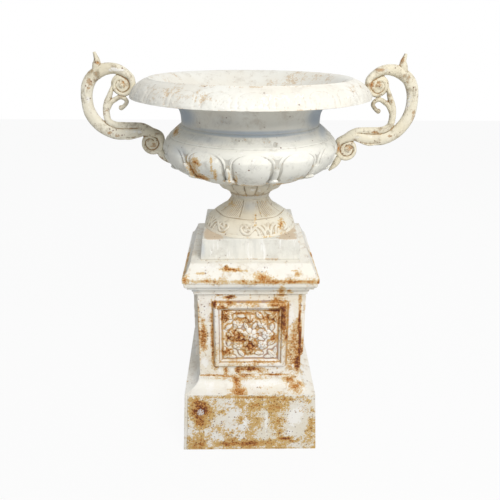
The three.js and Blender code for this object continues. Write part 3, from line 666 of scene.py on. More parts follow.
@dataclass(frozen=True)
class BareIron:
    """Rusted iron of rods, nuts and screws."""

    name: str = "bare_iron"
    slot: str = "bare_iron"
    light: Colour = (0.42, 0.20, 0.09)
    dark: Colour = (0.11, 0.055, 0.035)

    def material(self) -> bpy.types.Material:
        """Builds the finish: brown rust with darker scale, rougher where it is light."""
        sh = Shader(self.name)
        place = sh.place()
        scale = sh.noise(place, 120, 5, 0.65)
        fine = sh.noise(place, 700, 3)
        colour = sh.blend(scale.ease(0.35, 0.65), self.dark, self.light)
        sh.connect("Base Color", sh.blend(fine.ease(0.45, 0.7) * 0.4, colour, OCHRE))
        sh.connect("Roughness", 0.6 + scale * 0.35)
        sh.connect("Metallic", 0.3)
        sh.bump(scale + fine * 0.4, 0.5, 0.0006)
        return sh.material


@dataclass(frozen=True)
class BoltPaint:
    """The painted bolt head in its rust halo: grey-white paint with rust showing through."""

    name: str = "bolt_paint"
    slot: str = "bare_iron"

    def material(self) -> bpy.types.Material:
        """Builds the finish: chips of grey-white paint on rusted iron."""
        sh = Shader(self.name)
        place = sh.place()
        chips = sh.noise(place, 260, 4, 0.6)
        tone = sh.noise(place, 700, 3)
        iron = sh.blend(tone.ease(0.35, 0.65), BROWN, ORANGE)
        sh.connect("Base Color", sh.blend(chips.ease(0.44, 0.52), iron, CHIPS))
        sh.connect("Roughness", 0.9 - chips * 0.4)
        sh.bump(chips + tone * 0.3, 0.5, 0.0006)
        return sh.material


CREAM = WornPaint(
    "cream_paint", "cream_paint", (0.84, 0.82, 0.76), (0.80, 0.76, 0.66), (0.42, 0.32, 0.22), hollow_dirt_and_shade=0.6)
LIP_CREAM = WornPaint(
    "lip_cream_paint", "cream_paint", (0.79, 0.78, 0.72), (0.75, 0.72, 0.64), (0.46, 0.40, 0.32),
    specks=0.3, hollow_dirt_and_shade=0.3, flaking=0.8, veil=(0.60, 0.44, 0.26))
BOWL_CREAM = WornPaint(
    "bowl_cream_paint", "cream_paint", (0.83, 0.82, 0.76), (0.77, 0.76, 0.69), (0.34, 0.32, 0.28),
    specks=0.6, hollow_dirt_and_shade=0.5, flaking=0.85)
PANEL_CREAM = WornPaint(
    "panel_cream_paint", "cream_paint", (0.86, 0.83, 0.77), (0.80, 0.74, 0.62), (0.28, 0.12, 0.06),
    specks=1.0, hollow_dirt_and_shade=0.75, flaking=1.25)
GREY = WornPaint(
    "grey_paint", "grey_paint", (0.80, 0.78, 0.71), (0.68, 0.67, 0.61), (0.44, 0.40, 0.33),
    specks=0.3, hollow_dirt_and_shade=0.3, streaks=0.8, flaking=0.6, veil=(0.60, 0.45, 0.29), deep=0.9)
RUSTY = WornPaint(
    "rusty_paint", "rusty_paint", (0.80, 0.78, 0.74), (0.74, 0.69, 0.58), (0.45, 0.33, 0.18),
    specks=1.7, flaking=1.5, veil=(0.56, 0.35, 0.095), cover=0.7, deep=0.78)
TAN = WornPaint(
    "tan_paint", "tan_paint", (0.78, 0.74, 0.62), (0.69, 0.63, 0.48), (0.24, 0.18, 0.10),
    specks=1.4, hollow_dirt_and_shade=1.0, flaking=1.0, veil=(0.40, 0.24, 0.11), deep=0.7, grime=0.8)
FOOT_TAN = WornPaint(
    "foot_tan_paint", "tan_paint", (0.79, 0.76, 0.66), (0.72, 0.66, 0.53), (0.34, 0.25, 0.15),
    specks=0.5, hollow_dirt_and_shade=0.65, flaking=0.85)
IRON = BareIron()
BOLT = BoltPaint()
Finish = WornPaint | BareIron | BoltPaint
_materials: dict[str, bpy.types.Material] = {}


def dressed(piece: bpy.types.Object, finish: Finish) -> bpy.types.Object:
    """Gives the piece its finish, made once and shared."""
    if finish.name not in _materials:
        _materials[finish.name] = finish.material()
    piece.data.materials.clear()
    piece.data.materials.append(_materials[finish.name])
    return piece


def placed(piece: bpy.types.Object, body: str, finish: Finish, *nodes: str) -> bpy.types.Object:
    """Finishes a piece: paint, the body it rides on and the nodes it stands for.

    Args:
        piece: The finished mesh object, at the origin.
        body: The CAD body that carries it.
        finish: Its paint.
        nodes: CAD nodes that it replaces.

    Returns:
        The same piece.
    """
    dressed(piece, finish)
    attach(piece, body)
    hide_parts(*nodes)
    log.info("%s: %d faces, on %s", piece.name, len(piece.data.polygons), body)
    return piece


def cast(name: str, grid: Array, weather: Weather, sharp: float = 40.0) -> bpy.types.Object:
    """Makes one casting of a grid that closes in both directions, with its marks."""
    skin = Skin()
    skin.ring(grid)
    piece = skin.write(name, sharp=sharp)
    marked(piece, weather)
    return piece


# ---------------------------------------------------------------- pedestal


@dataclass
class Block:
    """Four tapered plates, each running past the end of the next, with a bolt near its left end."""

    half: float = 190.0
    top_half: float = 181.0
    height: float = 182.0
    wall: float = 9.0
    gap: float = 0.3
    edge: float = 1.6
    step: float = 2.2
    bolt_z: float = 130.0
    lug_reach: float = 62.0
    lug_thickness: float = 11.0
    lug_half_height: float = 32.0
    weather: dict[Side, Weather] = field(default_factory=lambda: {
        Side.FRONT: Weather(
            rust=(
                Stain(-138, 135, 32, 42, 1.15), Stain(-142, 106, 20, 34, 1.1), Stain(-112, 120, 16, 50, 0.55),
                Stain(-20, 20, 100, 12, 0.95), Stain(-148, 24, 26, 24, 0.9), Stain(20, 176, 110, 4, 0.85),
                Stain(-75, 130, 15, 12, 0.5), Stain(-30, 158, 26, 14, 0.55), Stain(15, 150, 24, 30, 0.62),
                Stain(75, 148, 40, 28, 0.62), Stain(95, 168, 30, 7, 0.85), Stain(10, 95, 26, 34, 0.52),
                Stain(-20, 105, 14, 14, 0.5), Stain(75, 92, 22, 34, 0.6), Stain(85, 52, 24, 24, 0.6),
                Stain(-90, 70, 20, 24, 0.45), Stain(-50, 34, 22, 12, 0.8), Stain(0, 22, 34, 16, 0.75),
                Stain(55, 24, 30, 14, 0.85), Stain(102, 38, 22, 7, 1.15), Stain(122, 28, 12, 5, 1.0),
                Stain(-148, 34, 22, 26, 0.6), Stain(-150, 10, 24, 10, 0.65), Stain(10, 4, 170, 5, 0.5),
                Stain(172, 80, 14, 44, 0.55), Stain(162, 160, 16, 12, 0.4), Stain(-183, 60, 3, 90, 0.8),
                Stain(186, 90, 3, 90, 0.55), Stain(-60, 178, 50, 5, 0.5),
            ),
            pale=(
                Stain(128, 110, 26, 42, 0.9), Stain(112, 60, 16, 20, 0.6), Stain(-14, 95, 10, 26, 0.75),
                Stain(46, 90, 6, 60, 0.7), Stain(-104, 92, 12, 20, 0.5), Stain(-55, 110, 16, 20, 0.45),
                Stain(10, 170, 8, 12, 0.6),
            ),
            rust_all=0.16, rust_patches=0.25, seed=11),
        Side.RIGHT: Weather(rust_all=0.14, rust_patches=0.5, patch_size=80, seed=12),
        Side.BACK: Weather(rust_all=0.16, rust_patches=0.55, patch_size=90, seed=13),
        Side.LEFT: Weather(rust_all=0.06, rust_patches=0.4, patch_size=90, seed=14),
    })

    def _half_at(self, z: Array) -> Array:
        """Half width of the block at a height: it narrows evenly from the ground to the top."""
        return self.half + (self.top_half - self.half) * z / self.height

    def _loop(self) -> tuple[Array, Array]:
        """One turn round a plate's plan: shares of its length and wall, and offsets for round edges.

        The outer face has a point every step, the hidden inner face few, and each corner is a
        quarter circle of the edge radius.

        Returns:
            Shares (n, 2) and offsets (n, 2).
        """
        r = self.edge
        outer = np.linspace(0, 1, int(2 * self.half / self.step))
        inner = np.linspace(1, 0, 12)
        arc = np.radians(np.linspace(0, 90, 5))
        shares, offsets = [], []
        for corner, start, run in (((0, 0), 180, outer), ((1, 0), 270, None),
                                   ((1, 1), 0, inner), ((0, 1), 90, None)):
            turn = arc + math.radians(start)
            centre = np.array([r if corner[0] == 0 else -r, r if corner[1] == 0 else -r])
            shares.append(np.tile(corner, (len(arc), 1)))
            offsets.append(centre + r * np.stack([np.cos(turn), np.sin(turn)], axis=1))
            if run is not None:
                middle = run[1:-1]
                inset = r * (1 - 2 * middle)
                shares.append(np.stack([middle, np.full(len(middle), corner[1])], axis=1))
                offsets.append(np.stack([inset, np.zeros(len(middle))], axis=1))
        return np.vstack(shares).astype(float), np.vstack(offsets)

    def _plate(self, seed: int) -> Array:
        """The plate's grid of points, with its outer face worn uneven."""
        shares, offsets = self._loop()
        z = np.concatenate([[0], np.linspace(self.edge, self.height - self.edge, 84), [self.height]])
        inset = np.zeros(len(z))
        inset[[0, -1]] = self.edge
        half = self._half_at(z)
        low = np.stack([-(half - self.wall - self.gap), -half], axis=1) + inset[:, None]
        high = np.stack([half, -(half - self.wall)], axis=1) - inset[:, None]
        plan = low[:, None] + shares[None] * (high - low)[:, None] + offsets[None]
        grid = np.concatenate([plan, np.broadcast_to(z[:, None, None], (*plan.shape[:2], 1))], axis=2)
        outer = (shares[:, 1] == 0)[None]
        worn = 0.7 * (1 - fractal(grid, 26, seed)) / 2 + 0.35 * (1 - fractal(grid, 7, seed + 5)) / 2
        grid[..., 1] += np.where(outer, worn, 0)
        return grid

    def _lug(self) -> Array:
        """The lug that the next plate is bolted to: a leaning bar with the block's own taper."""
        z = self.bolt_z + self.lug_half_height * np.array([-1.0, 1.0])
        end = self._half_at(z) - self.wall - self.gap
        x0, x1 = end - self.lug_thickness, end
        y0, y1 = -(end + self.gap + 1), -(end - self.lug_reach)
        rings = [[(x0[i], y0[i], z[i]), (x1[i], y0[i], z[i]), (x1[i], y1[i], z[i]), (x0[i], y1[i], z[i])]
                 for i in range(2)]
        return np.array(rings)

    def build(self) -> None:
        """Makes and places the four plates, and paints the bolts and nuts."""
        for side in Side:
            skin = Skin()
            skin.loft(self._plate(30 + side.value))
            skin.loft(self._lug())
            piece = skin.write(f"plate_{side.label}")
            marked(piece, self.weather[side])
            mesh_turn(piece, side)
            placed(piece, "pedestal", RUSTY, f"block_plate_{side.label}")
            dressed(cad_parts[f"block_bolt_{side.label}"], BOLT)
            dressed(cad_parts[f"block_nut_{side.label}"], IRON)


def mesh_turn(piece: bpy.types.Object, side: Side) -> None:
    """Turns a mesh that was made for the front to its own side of the pedestal."""
    piece.data.transform(Matrix.Rotation(side.value * math.pi / 2, 4, "Z"))


@dataclass
class Skirt:
    """The hollow moulding between block and shaft, with the groove that takes the panels' feet."""

    base: float = 182.3
    top: float = 219.0
    foot_half: float = 181.0
    lip_half: float = 171.7
    edge_half: float = 143.8
    spigot: float = 172.3
    sweep_foot: float = 185.3
    groove: tuple[float, float] = (131.7, 140.3)
    groove_floor: float = 214.0
    inner_half: float = 104.0
    inner_top: float = 222.0
    shelf: float = 205.0
    wall: float = 9.0
    weather: Weather = Weather(
        rust=(
            Stain(-38, 205, 14, 24, 1.0), Stain(-30, 188, 28, 6, 0.95), Stain(110, 208, 22, 14, 0.9),
            Stain(128, 196, 22, 16, 0.8), Stain(20, 212, 50, 8, 0.65),
            Stain(50, 192, 40, 4, 0.6), Stain(-90, 212, 40, 5, 0.5),
            Stain(0, 218, 60, 4, 0.75), Stain(-60, 219, 60, 3, 0.7), Stain(120, 218, 20, 3, 0.6),
            Stain(60, 186, 60, 3, 0.4), Stain(-50, 184, 30, 4, 0.5),
        ),
        pale=(Stain(-110, 196, 45, 18, 0.6), Stain(40, 200, 60, 16, 0.7)),
        rust_all=0.05, rust_patches=0.35, seed=21)

    def build(self) -> None:
        """Makes and places the skirt: a square ring whose outside is one hollow sweep."""
        near, far = self.groove
        lip_inside = self.lip_half - self.wall
        hollow = bend((self.foot_half, self.sweep_foot), (145.8, 190.3), (self.edge_half, 214.0), 18)
        lip = [(self.lip_half, self.spigot), (self.lip_half, self.base), (self.foot_half, self.base)]
        outer = np.vstack([lip, hollow, [(self.edge_half, self.top), (far, self.top)]])
        inner = [(far, self.groove_floor), (near, self.groove_floor), (near, self.inner_top),
                 (self.inner_half, self.inner_top), (self.inner_half, self.shelf),
                 (self.edge_half - self.wall, self.shelf), (lip_inside, self.base), (lip_inside, self.spigot)]
        outline = np.vstack([dense(eased(outer, 1.2), 3.0), inner])
        grid = roughened(square_ring(outline, 2.0, 120, 0), 0.8, 18, 22, len(outline) - len(inner))
        placed(cast("skirt_moulding", grid, self.weather), "pedestal", CREAM, "skirt")


@dataclass
class Panels:
    """The four panels of the shaft, each with a raised frame round a wreath of blossoms."""

    half: float = 140.0
    side_half: float = 131.7
    base: float = 214.3
    height: float = 269.4
    wall: float = 8.0
    step: float = 1.3
    middle: float = 353.0
    frame_half: float = 99.0
    frame_width: float = 21.0
    frame_rise: float = 13.0
    ring: float = 47.0
    weather: dict[Side, Weather] = field(default_factory=lambda: {
        Side.FRONT: Weather(
            rust=(
                Stain(-80, 478, 14, 8, 1.0), Stain(-58, 476, 12, 4, 0.7), Stain(-58, 466, 18, 5, 1.0),
                Stain(-48, 470, 8, 4, 1.05), Stain(-95, 447, 9, 9, 0.95), Stain(-76, 442, 14, 9, 0.95),
                Stain(-54, 450, 12, 5, 0.7), Stain(78, 478, 18, 12, 1.05), Stain(70, 462, 12, 10, 0.8),
                Stain(66, 447, 20, 5, 0.95), Stain(84, 440, 20, 12, 0.9), Stain(0, 446, 16, 7, 0.5),
                Stain(0, 475, 3, 24, 0.5), Stain(90, 390, 9, 52, 1.0), Stain(97, 360, 7, 40, 0.75),
                Stain(88, 434, 10, 10, 1.15), Stain(120, 330, 18, 76, 0.72), Stain(112, 300, 12, 80, 0.65),
                Stain(132, 400, 5, 80, 1.05), Stain(136, 330, 7, 80, 1.1), Stain(133, 262, 12, 40, 0.95),
                Stain(88, 400, 14, 50, 0.95), Stain(70, 430, 22, 14, 0.9), Stain(-126, 350, 10, 60, 0.75),
                Stain(-128, 330, 12, 34, 0.9), Stain(-126, 372, 8, 30, 0.6), Stain(-138, 360, 3, 90, 0.8),
                Stain(-104, 345, 4, 80, 0.85), Stain(-93, 292, 8, 50, 0.5), Stain(-92, 250, 10, 10, 0.6),
                Stain(-67, 240, 8, 18, 0.85), Stain(-34, 240, 9, 20, 0.85), Stain(2, 241, 36, 9, 0.95),
                Stain(28, 238, 20, 12, 0.7), Stain(70, 222, 60, 4, 0.7), Stain(-100, 221, 50, 3, 0.8),
                Stain(-10, 221, 40, 6, 0.75), Stain(-40, 358, 22, 16, 0.75), Stain(-56, 346, 14, 12, 0.85),
                Stain(-26, 340, 30, 20, 0.7), Stain(0, 312, 22, 26, 0.8), Stain(-62, 300, 16, 12, 0.85),
                Stain(64, 344, 12, 14, 0.75), Stain(52, 402, 34, 18, 0.75), Stain(-68, 412, 14, 22, 0.8),
                Stain(-10, 398, 26, 14, 0.65), Stain(-20, 420, 44, 6, 0.75), Stain(40, 270, 80, 5, 0.4),
                # The thin line at z 252, just under the frame's bottom edge, is rust and also the frame's
                # painted cast shadow.
                Stain(-20, 262, 40, 6, 0.5), Stain(0, 252, 90, 3, 0.7),
            ),
            pale=(
                Stain(110, 415, 12, 40, 0.8), Stain(-10, 470, 30, 12, 0.5), Stain(-125, 260, 12, 28, 0.8),
                Stain(-122, 420, 14, 40, 0.6), Stain(-84, 380, 5, 60, 0.6), Stain(0, 280, 60, 6, 0.6),
                Stain(-84, 238, 6, 14, 0.7), Stain(-50, 240, 6, 14, 0.7), Stain(-16, 236, 7, 8, 0.6),
            ),
            grey=(Stain(-20, 436, 80, 6, 0.35), Stain(20, 316, 40, 14, 0.5), Stain(70, 330, 8, 50, 0.5),
                  Stain(48, 352, 20, 12, 0.4)),
            rust_all=0.12, rust_patches=0.3, patch_size=45, seed=31, reach=14),
        Side.RIGHT: Weather(rust=(Stain(-130, 330, 8, 160, 0.8), Stain(-100, 262, 26, 40, 0.6)),
                            rust_all=0.12, rust_patches=0.6, seed=32),
        Side.BACK: Weather(rust_all=0.12, rust_patches=0.6, seed=33),
        Side.LEFT: Weather(rust_all=0.03, rust_patches=0.4, seed=34),
    })

    def _frame(self, x: Array, z: Array) -> Array:
        """Height of the raised square frame: a profile of the distance from the middle's square."""
        out = np.maximum(np.abs(x), np.abs(z))
        flat = self.frame_width / 4
        inner = self.frame_half - self.frame_width
        places = [inner - 1.5, inner, inner + flat, self.frame_half - 2.4 * flat, self.frame_half - flat,
                  self.frame_half - flat / 2, self.frame_half]
        rises = [0, 0.3, 0.5, 1, 1, 0.6, 0]
        rise = np.interp(out, places, [self.frame_rise * share for share in rises])
        return rise + 1.6 * hill(out - inner - 0.5 * flat, 1.6)

    @staticmethod
    def _blossom(x: Array, z: Array, cx: float, cz: float, radius: float, petals: int, rise: float,
                 phase: float) -> Array:
        """A flower: round petals whose edge is radius * (0.74 + 0.26 |cos(petals * angle / 2)|^0.7), a
        crease between petals, a dish in each and a button in the middle."""
        dx, dz = x - cx, z - cz
        away = np.hypot(dx, dz)
        angle = np.arctan2(dz, dx) + phase
        lobe = np.abs(np.cos(petals * angle / 2))
        reach = radius * (0.74 + 0.26 * lobe**0.7)
        body = np.clip(1 - (away / reach) ** 4, 0, 1) ** 0.6
        dish = 0.62 + 0.38 * np.sin(np.clip(away / reach, 0, 1) * math.pi * 0.62)
        crease = 1 - 0.35 * hill(lobe * away, 2.6) * (away > 3)
        button = 0.5 * arch(away, radius * 0.3)
        return rise * (body * dish * crease * 0.8 + button)

    @staticmethod
    def _leaf(x: Array, z: Array, cx: float, cz: float, angle: float, length: float, width: float,
              rise: float) -> Array:
        """A leaf: a pointed oval with a crowned section, a sunk midrib and slanting veins."""
        c, s = math.cos(angle), math.sin(angle)
        along = ((x - cx) * c + (z - cz) * s) / length
        across = (-(x - cx) * s + (z - cz) * c) / width
        edge = np.clip(1 - along**2, 0, 1) ** 0.9 * (1 + 0.12 * np.cos(along * 17))
        inside = np.clip(1 - (across / np.maximum(edge, 1e-3)) ** 2, 0, 1) * (np.abs(along) < 1)
        rib = 0.35 * hill(across * width, 1.1)
        veins = 0.1 * np.cos((along * length - np.abs(across) * width) * 1.5)
        return rise * np.sqrt(inside) * (1 - rib + veins)

    def _wreath(self, x: Array, z: Array) -> Array:
        """The worn relief inside the frame, as the highest of its flowers, leaves and stems."""
        high = self._blossom(x, z, 0, 0, 22, 6, 8.5, 0.3)
        for i in range(8):
            turn = i * math.pi / 4
            cx, cz = self.ring * math.cos(turn), self.ring * math.sin(turn)
            size = 16.5 if i % 2 == 0 else 14.5
            high = np.maximum(high, self._blossom(x, z, cx, cz, size, 5, 8.0, turn))
            half_turn = turn + math.pi / 8
            lx, lz = 30 * math.cos(half_turn), 30 * math.sin(half_turn)
            high = np.maximum(high, self._leaf(x, z, lx, lz, half_turn, 12, 5.5, 4.8))
            ox, oz = 63 * math.cos(half_turn), 63 * math.sin(half_turn)
            high = np.maximum(high, self._leaf(x, z, ox, oz, half_turn + 1.1, 12, 6, 5.2))
        for cx in (-1, 1):
            for cz in (-1, 1):
                lean = math.atan2(cz, cx)
                high = np.maximum(high, self._leaf(x, z, 61 * cx, 61 * cz, lean, 17, 8.5, 6.5))
                for swing in (-0.95, 0.95):
                    px = 66 * cx - 13 * math.cos(lean + swing)
                    pz = 66 * cz - 13 * math.sin(lean + swing)
                    high = np.maximum(high, self._leaf(x, z, px, pz, lean + swing, 15, 6, 5.2))
        turns = np.linspace(0, 2 * math.pi, 17)
        ring = through([(self.ring * math.cos(a), self.ring * math.sin(a)) for a in turns], 64)
        from_ring, _ = nearest(x, z, evenly(ring, 49))
        return np.maximum(high, 3.2 * arch(from_ring, 3.4))

    def _face(self, half: float, seed: int) -> Array:
        """The face grid of a front panel of that half width."""
        x = np.linspace(-half, half, int(2 * half / self.step))[None]
        z = np.linspace(self.base, self.base + self.height, int(self.height / self.step))[:, None]
        x, z = np.broadcast_arrays(x, z)
        u, v = x, z - self.middle
        raised = self._frame(u, v)
        inside = np.maximum(np.abs(u), np.abs(v)) < self.frame_half - self.frame_width + 2
        raised = np.where(inside, np.maximum(raised, self._wreath(u, v)), raised)
        place = np.stack([x, np.full_like(x, -self.half), z], axis=-1)
        worn = 0.9 * fractal(place, 12, seed) + 0.6 * fractal(place, 30, seed + 3)
        raised = raised * (1 + 0.07 * fractal(place, 16, seed + 7)) + np.minimum(worn, 0.2) * 0.55
        border = np.minimum(half - np.abs(x), np.minimum(z - self.base, self.base + self.height - z))
        raised = raised - 1.4 * np.clip(1 - border / 1.5, 0, 1) ** 2
        return np.stack([x, -self.half - raised, z], axis=-1)

    def build(self) -> None:
        """Makes and places the four panels."""
        for side in Side:
            half = self.half if side.value % 2 == 0 else self.side_half
            face = self._face(half, 40 + side.value)
            skin = Skin()
            skin.slab(face, np.array([0.0, self.wall - 1.0, 0.0]))
            piece = skin.write(f"shaft_panel_{side.label}", sharp=60)
            marked(piece, self.weather[side])
            mesh_turn(piece, side)
            placed(piece, "pedestal", PANEL_CREAM, f"panel_{side.label}")


@dataclass
class Cap:
    """The moulded top of the pedestal, from the necking up to the deck that the urn stands on."""

    base: float = 479.0
    deck: float = 569.0
    necking: float = 149.5
    bed: float = 164.0
    fascia: float = 175.0
    edge: float = 154.5
    hole: float = 8.8
    well: float = 27.0
    well_floor: float = 549.0
    wall: float = 9.0
    slot: tuple[float, float] = (131.7, 140.3)
    slot_top: float = 484.0
    tongue_half: float = 122.7
    tongue_foot: float = 476.0
    neck_top: float = 488.0
    cove_top: float = 499.0
    bed_top: float = 506.0
    ovolo: float = 172.0
    fascia_foot: float = 521.0
    fascia_top: float = 534.0
    core: float = 140.5
    weather: Weather = Weather(
        rust=(
            Stain(-52, 555, 24, 4, 0.9), Stain(-36, 552, 26, 3, 0.7), Stain(-62, 560, 8, 6, 0.7),
            Stain(112, 552, 16, 3, 0.6), Stain(118, 546, 8, 8, 0.5), Stain(-130, 546, 14, 3, 0.55),
            Stain(30, 534, 28, 16, 0.8), Stain(45, 527, 66, 8, 0.88), Stain(120, 527, 60, 7, 0.82),
            Stain(-110, 529, 50, 6, 0.68), Stain(-166, 530, 12, 12, 0.85), Stain(172, 527, 6, 9, 0.9),
            Stain(-30, 528, 40, 6, 0.68), Stain(80, 496, 10, 22, 0.95), Stain(0, 521, 160, 3, 0.55),
            Stain(100, 492, 8, 10, 0.7),
        ),
        # These grey marks are painted shade: the cove and bed under the overhanging ovolo and fascia, darker
        # again at the left end.
        grey=(Stain(0, 506, 190, 14, 0.55), Stain(-150, 495, 30, 14, 0.5)),
        pale=(Stain(60, 556, 60, 10, 0.5), Stain(-120, 560, 30, 8, 0.5)),
        rust_all=0.06, rust_patches=0.35, seed=51)

    def build(self) -> None:
        """Makes and places the cap: steps, a cove, an ovolo, a fascia and a sloping weathering."""
        near, far = self.slot
        neck = [(far, self.slot_top), (far, self.base), (self.necking, self.base),
                (self.necking, self.neck_top)]
        cove = bend((152.5, self.neck_top), (152.5, self.cove_top), (self.bed, self.cove_top), 8)
        ovolo = bend((167, self.bed_top), (self.ovolo, self.bed_top), (self.ovolo, self.fascia_foot), 8)
        fascia = [(self.fascia, self.fascia_foot), (self.fascia, self.fascia_top)]
        slope = bend((self.ovolo, 535), (164.75, 542.75), (self.edge, 568), 12)
        outer = np.vstack([neck, cove, [(self.bed, self.bed_top)], ovolo, fascia, slope,
                           [(153.5, self.deck), (118, self.deck)]])
        floor, wall = self.well_floor, self.wall
        inner = [(self.well, self.deck), (self.well, floor), (self.hole, floor), (self.hole, floor - wall),
                 (self.well + wall, floor - wall), (self.well + wall, self.deck - wall),
                 (self.core, self.deck - wall), (self.core, self.cove_top), (self.tongue_half, self.neck_top),
                 (self.tongue_half, self.tongue_foot), (near, self.tongue_foot), (near, self.slot_top)]
        outline = np.vstack([dense(eased(outer, 1.1), 2.6), inner])
        ring = square_ring(outline, 2.2, 120, self.well + wall)
        grid = roughened(ring, 0.8, 18, 52, len(outline) - len(inner))
        placed(cast("cap_moulding", grid, self.weather), "pedestal", CREAM, "cap")


# ---------------------------------------------------------------- urn


@dataclass
class Plinth:
    """The plain square plinth of the urn, hollow below."""

    base: float = 569.3
    top: float = 624.0
    half: float = 129.6
    top_half: float = 124.3
    wall: float = 9.0
    hole: float = 8.8
    weather: Weather = Weather(
        rust=(Stain(0, 571, 130, 2.5, 0.5), Stain(-96, 625, 30, 3, 0.8), Stain(96, 625, 30, 3, 0.8),
              Stain(124, 616, 4, 5, 0.6)),
        # The grey strip at the left edge of the front face is painted shade.
        grey=(Stain(-122, 596, 8, 30, 0.5),),
        rust_all=0.0, rust_patches=0.15, seed=61)

    def build(self) -> None:
        """Makes and places the plinth: four leaning faces, a flat top and a hollow underside."""
        outer = np.array([(self.half - self.wall, self.base), (self.half, self.base),
                          (self.top_half, self.top), (96, self.top)])
        inner = [(self.hole, self.top), (self.hole, self.top - self.wall),
                 (self.top_half - self.wall, self.top - self.wall)]
        outline = np.vstack([dense(eased(outer, 1.5), 3.0), inner])
        grid = roughened(square_ring(outline, 2.5, 96, self.hole), 0.9, 22, 62, len(outline) - len(inner))
        placed(cast("plinth", grid, self.weather), "urn", GREY, "urn_plinth")


@dataclass
class Foot:
    """The round dome with strapwork, and the leafy stem above it."""

    base: float = 624.3
    shoulder: float = 664.3
    top: float = 705.0
    radius: float = 123.5
    shoulder_radius: float = 95.0
    stem_radius: float = 50.0
    wall: float = 9.0
    hole: float = 8.8
    flutes: int = 8
    flute_depth: float = 4.0
    strap_rise: float = 2.4
    groove_depth: float = 2.8
    around: int = 480
    weather: Weather = Weather(
        rust=(Stain(80, 648, 10, 12, 0.65), Stain(12, 655, 4, 30, 0.4), Stain(-50, 690, 14, 10, 0.4),
              Stain(40, 626, 60, 4, 0.45)),
        pale=(Stain(0, 640, 34, 16, 0.35),), grey=(Stain(0, 690, 34, 18, 0.5),),
        rust_all=0.05, rust_patches=0.2, seed=71, reach=14)

    def _relief(self, outline: Array, visible: int) -> Callable[[Array, Array], Array]:
        """Flutes with leaf ribs on the stem, and curled straps on the dome.

        Around the foot each eighth turn repeats. u is the distance round from the middle of an
        eighth and v the distance walked up the outline; straps are ridges along curves in u, v.

        Args:
            outline: The whole outline.
            visible: How many of its first points are the outer face.

        Returns:
            The relief function for round_ring.
        """
        walked = walk(outline)
        dome = np.argmax(outline[:visible, 1] >= self.shoulder)
        on_dome = walked[dome]
        eighth = 2 * math.pi / self.flutes
        curl = [(4 + 9 * math.cos(a) * (1 - a / 9), 26 + 9 * math.sin(a) * (1 - a / 9))
                for a in np.linspace(0, 5.2, 12)]
        strap = through([(-40, 8), (-30, 24), (-17, 32), (-5, 22), (6, 11), (20, 14), (26, 26), (18, 34),
                         (10, 29)], 40)
        spur = through([(-24, 8), (-19, 20), (-12, 27)], 8)
        leaf = through([(-33, 36), (-42, 22), (-38, 10)], 8)

        def relief(row: Array, angle: Array) -> Array:
            """Distance out from the axis for each row and angle."""
            turn = angle + math.pi / 2
            radius = outline[row, 0]
            v = walked[row]
            local = (turn + eighth / 2) % eighth - eighth / 2
            mirrored = np.sign((turn / eighth + 0.5) % 2 - 1)
            u = local * radius * mirrored + 0 * v
            v = v + 0 * u
            strength = np.where(v < on_dome, 0.5, 1.0) * smooth(2, 8, v)
            out = -self.flute_depth * strength * (1 - np.cos(self.flutes * turn)) / 2
            straps = np.zeros_like(u)
            for path, width in ((strap, 3.2), (spur, 2.6), (leaf, 2.8), (np.array(curl), 2.2)):
                gap, _ = nearest(u, v, path)
                straps = np.maximum(straps, arch(gap, width))
            fade = smooth(1, 6, v) * smooth(on_dome + 1, on_dome - 3, v)
            out = out + self.strap_rise * straps * fade - 1.4 * fade
            out = out - self.groove_depth * hill(v - on_dome, 1.8)
            stem = smooth(on_dome + 2, on_dome + 8, v)
            aside = np.abs((turn + eighth) % (2 * eighth) - eighth) / eighth
            ribs = 1.5 * np.cos(local * radius * 1.15) * smooth(0.46, 0.6, aside)
            from_border = (aside - 0.4) * radius * eighth
            border = 2.0 * hill(from_border, 1.8) - 2.2 * hill(from_border - 4, 2.0)
            out = out + stem * (ribs + border)
            return np.where(row < visible, out, 0.0)

        return relief

    def build(self) -> None:
        """Makes and places the foot."""
        dome = bend((self.radius, self.base), (120, 644.3), (self.shoulder_radius, self.shoulder), 10)
        stem = bend((self.shoulder_radius, self.shoulder), (58, 682.2), (self.stem_radius, self.top), 10)
        outer = dense(np.vstack([dome, stem[1:]]), 1.6)
        inner = beside(np.vstack([dome[::2], stem[2:-1:2]]), self.wall)[::-1]
        inner[-1, 1] = self.base
        ceiling = self.top - self.wall
        rest = np.vstack([[(self.hole, self.top), (self.hole, ceiling), (inner[0, 0], ceiling)], inner])
        outline = np.vstack([outer, rest])
        grid = round_ring(outline, self.around, self._relief(outline, len(outer)))
        grid = roughened(grid, 0.7, 9, 72, len(outer))
        placed(cast("foot", grid, self.weather), "urn", FOOT_TAN, "urn_foot")


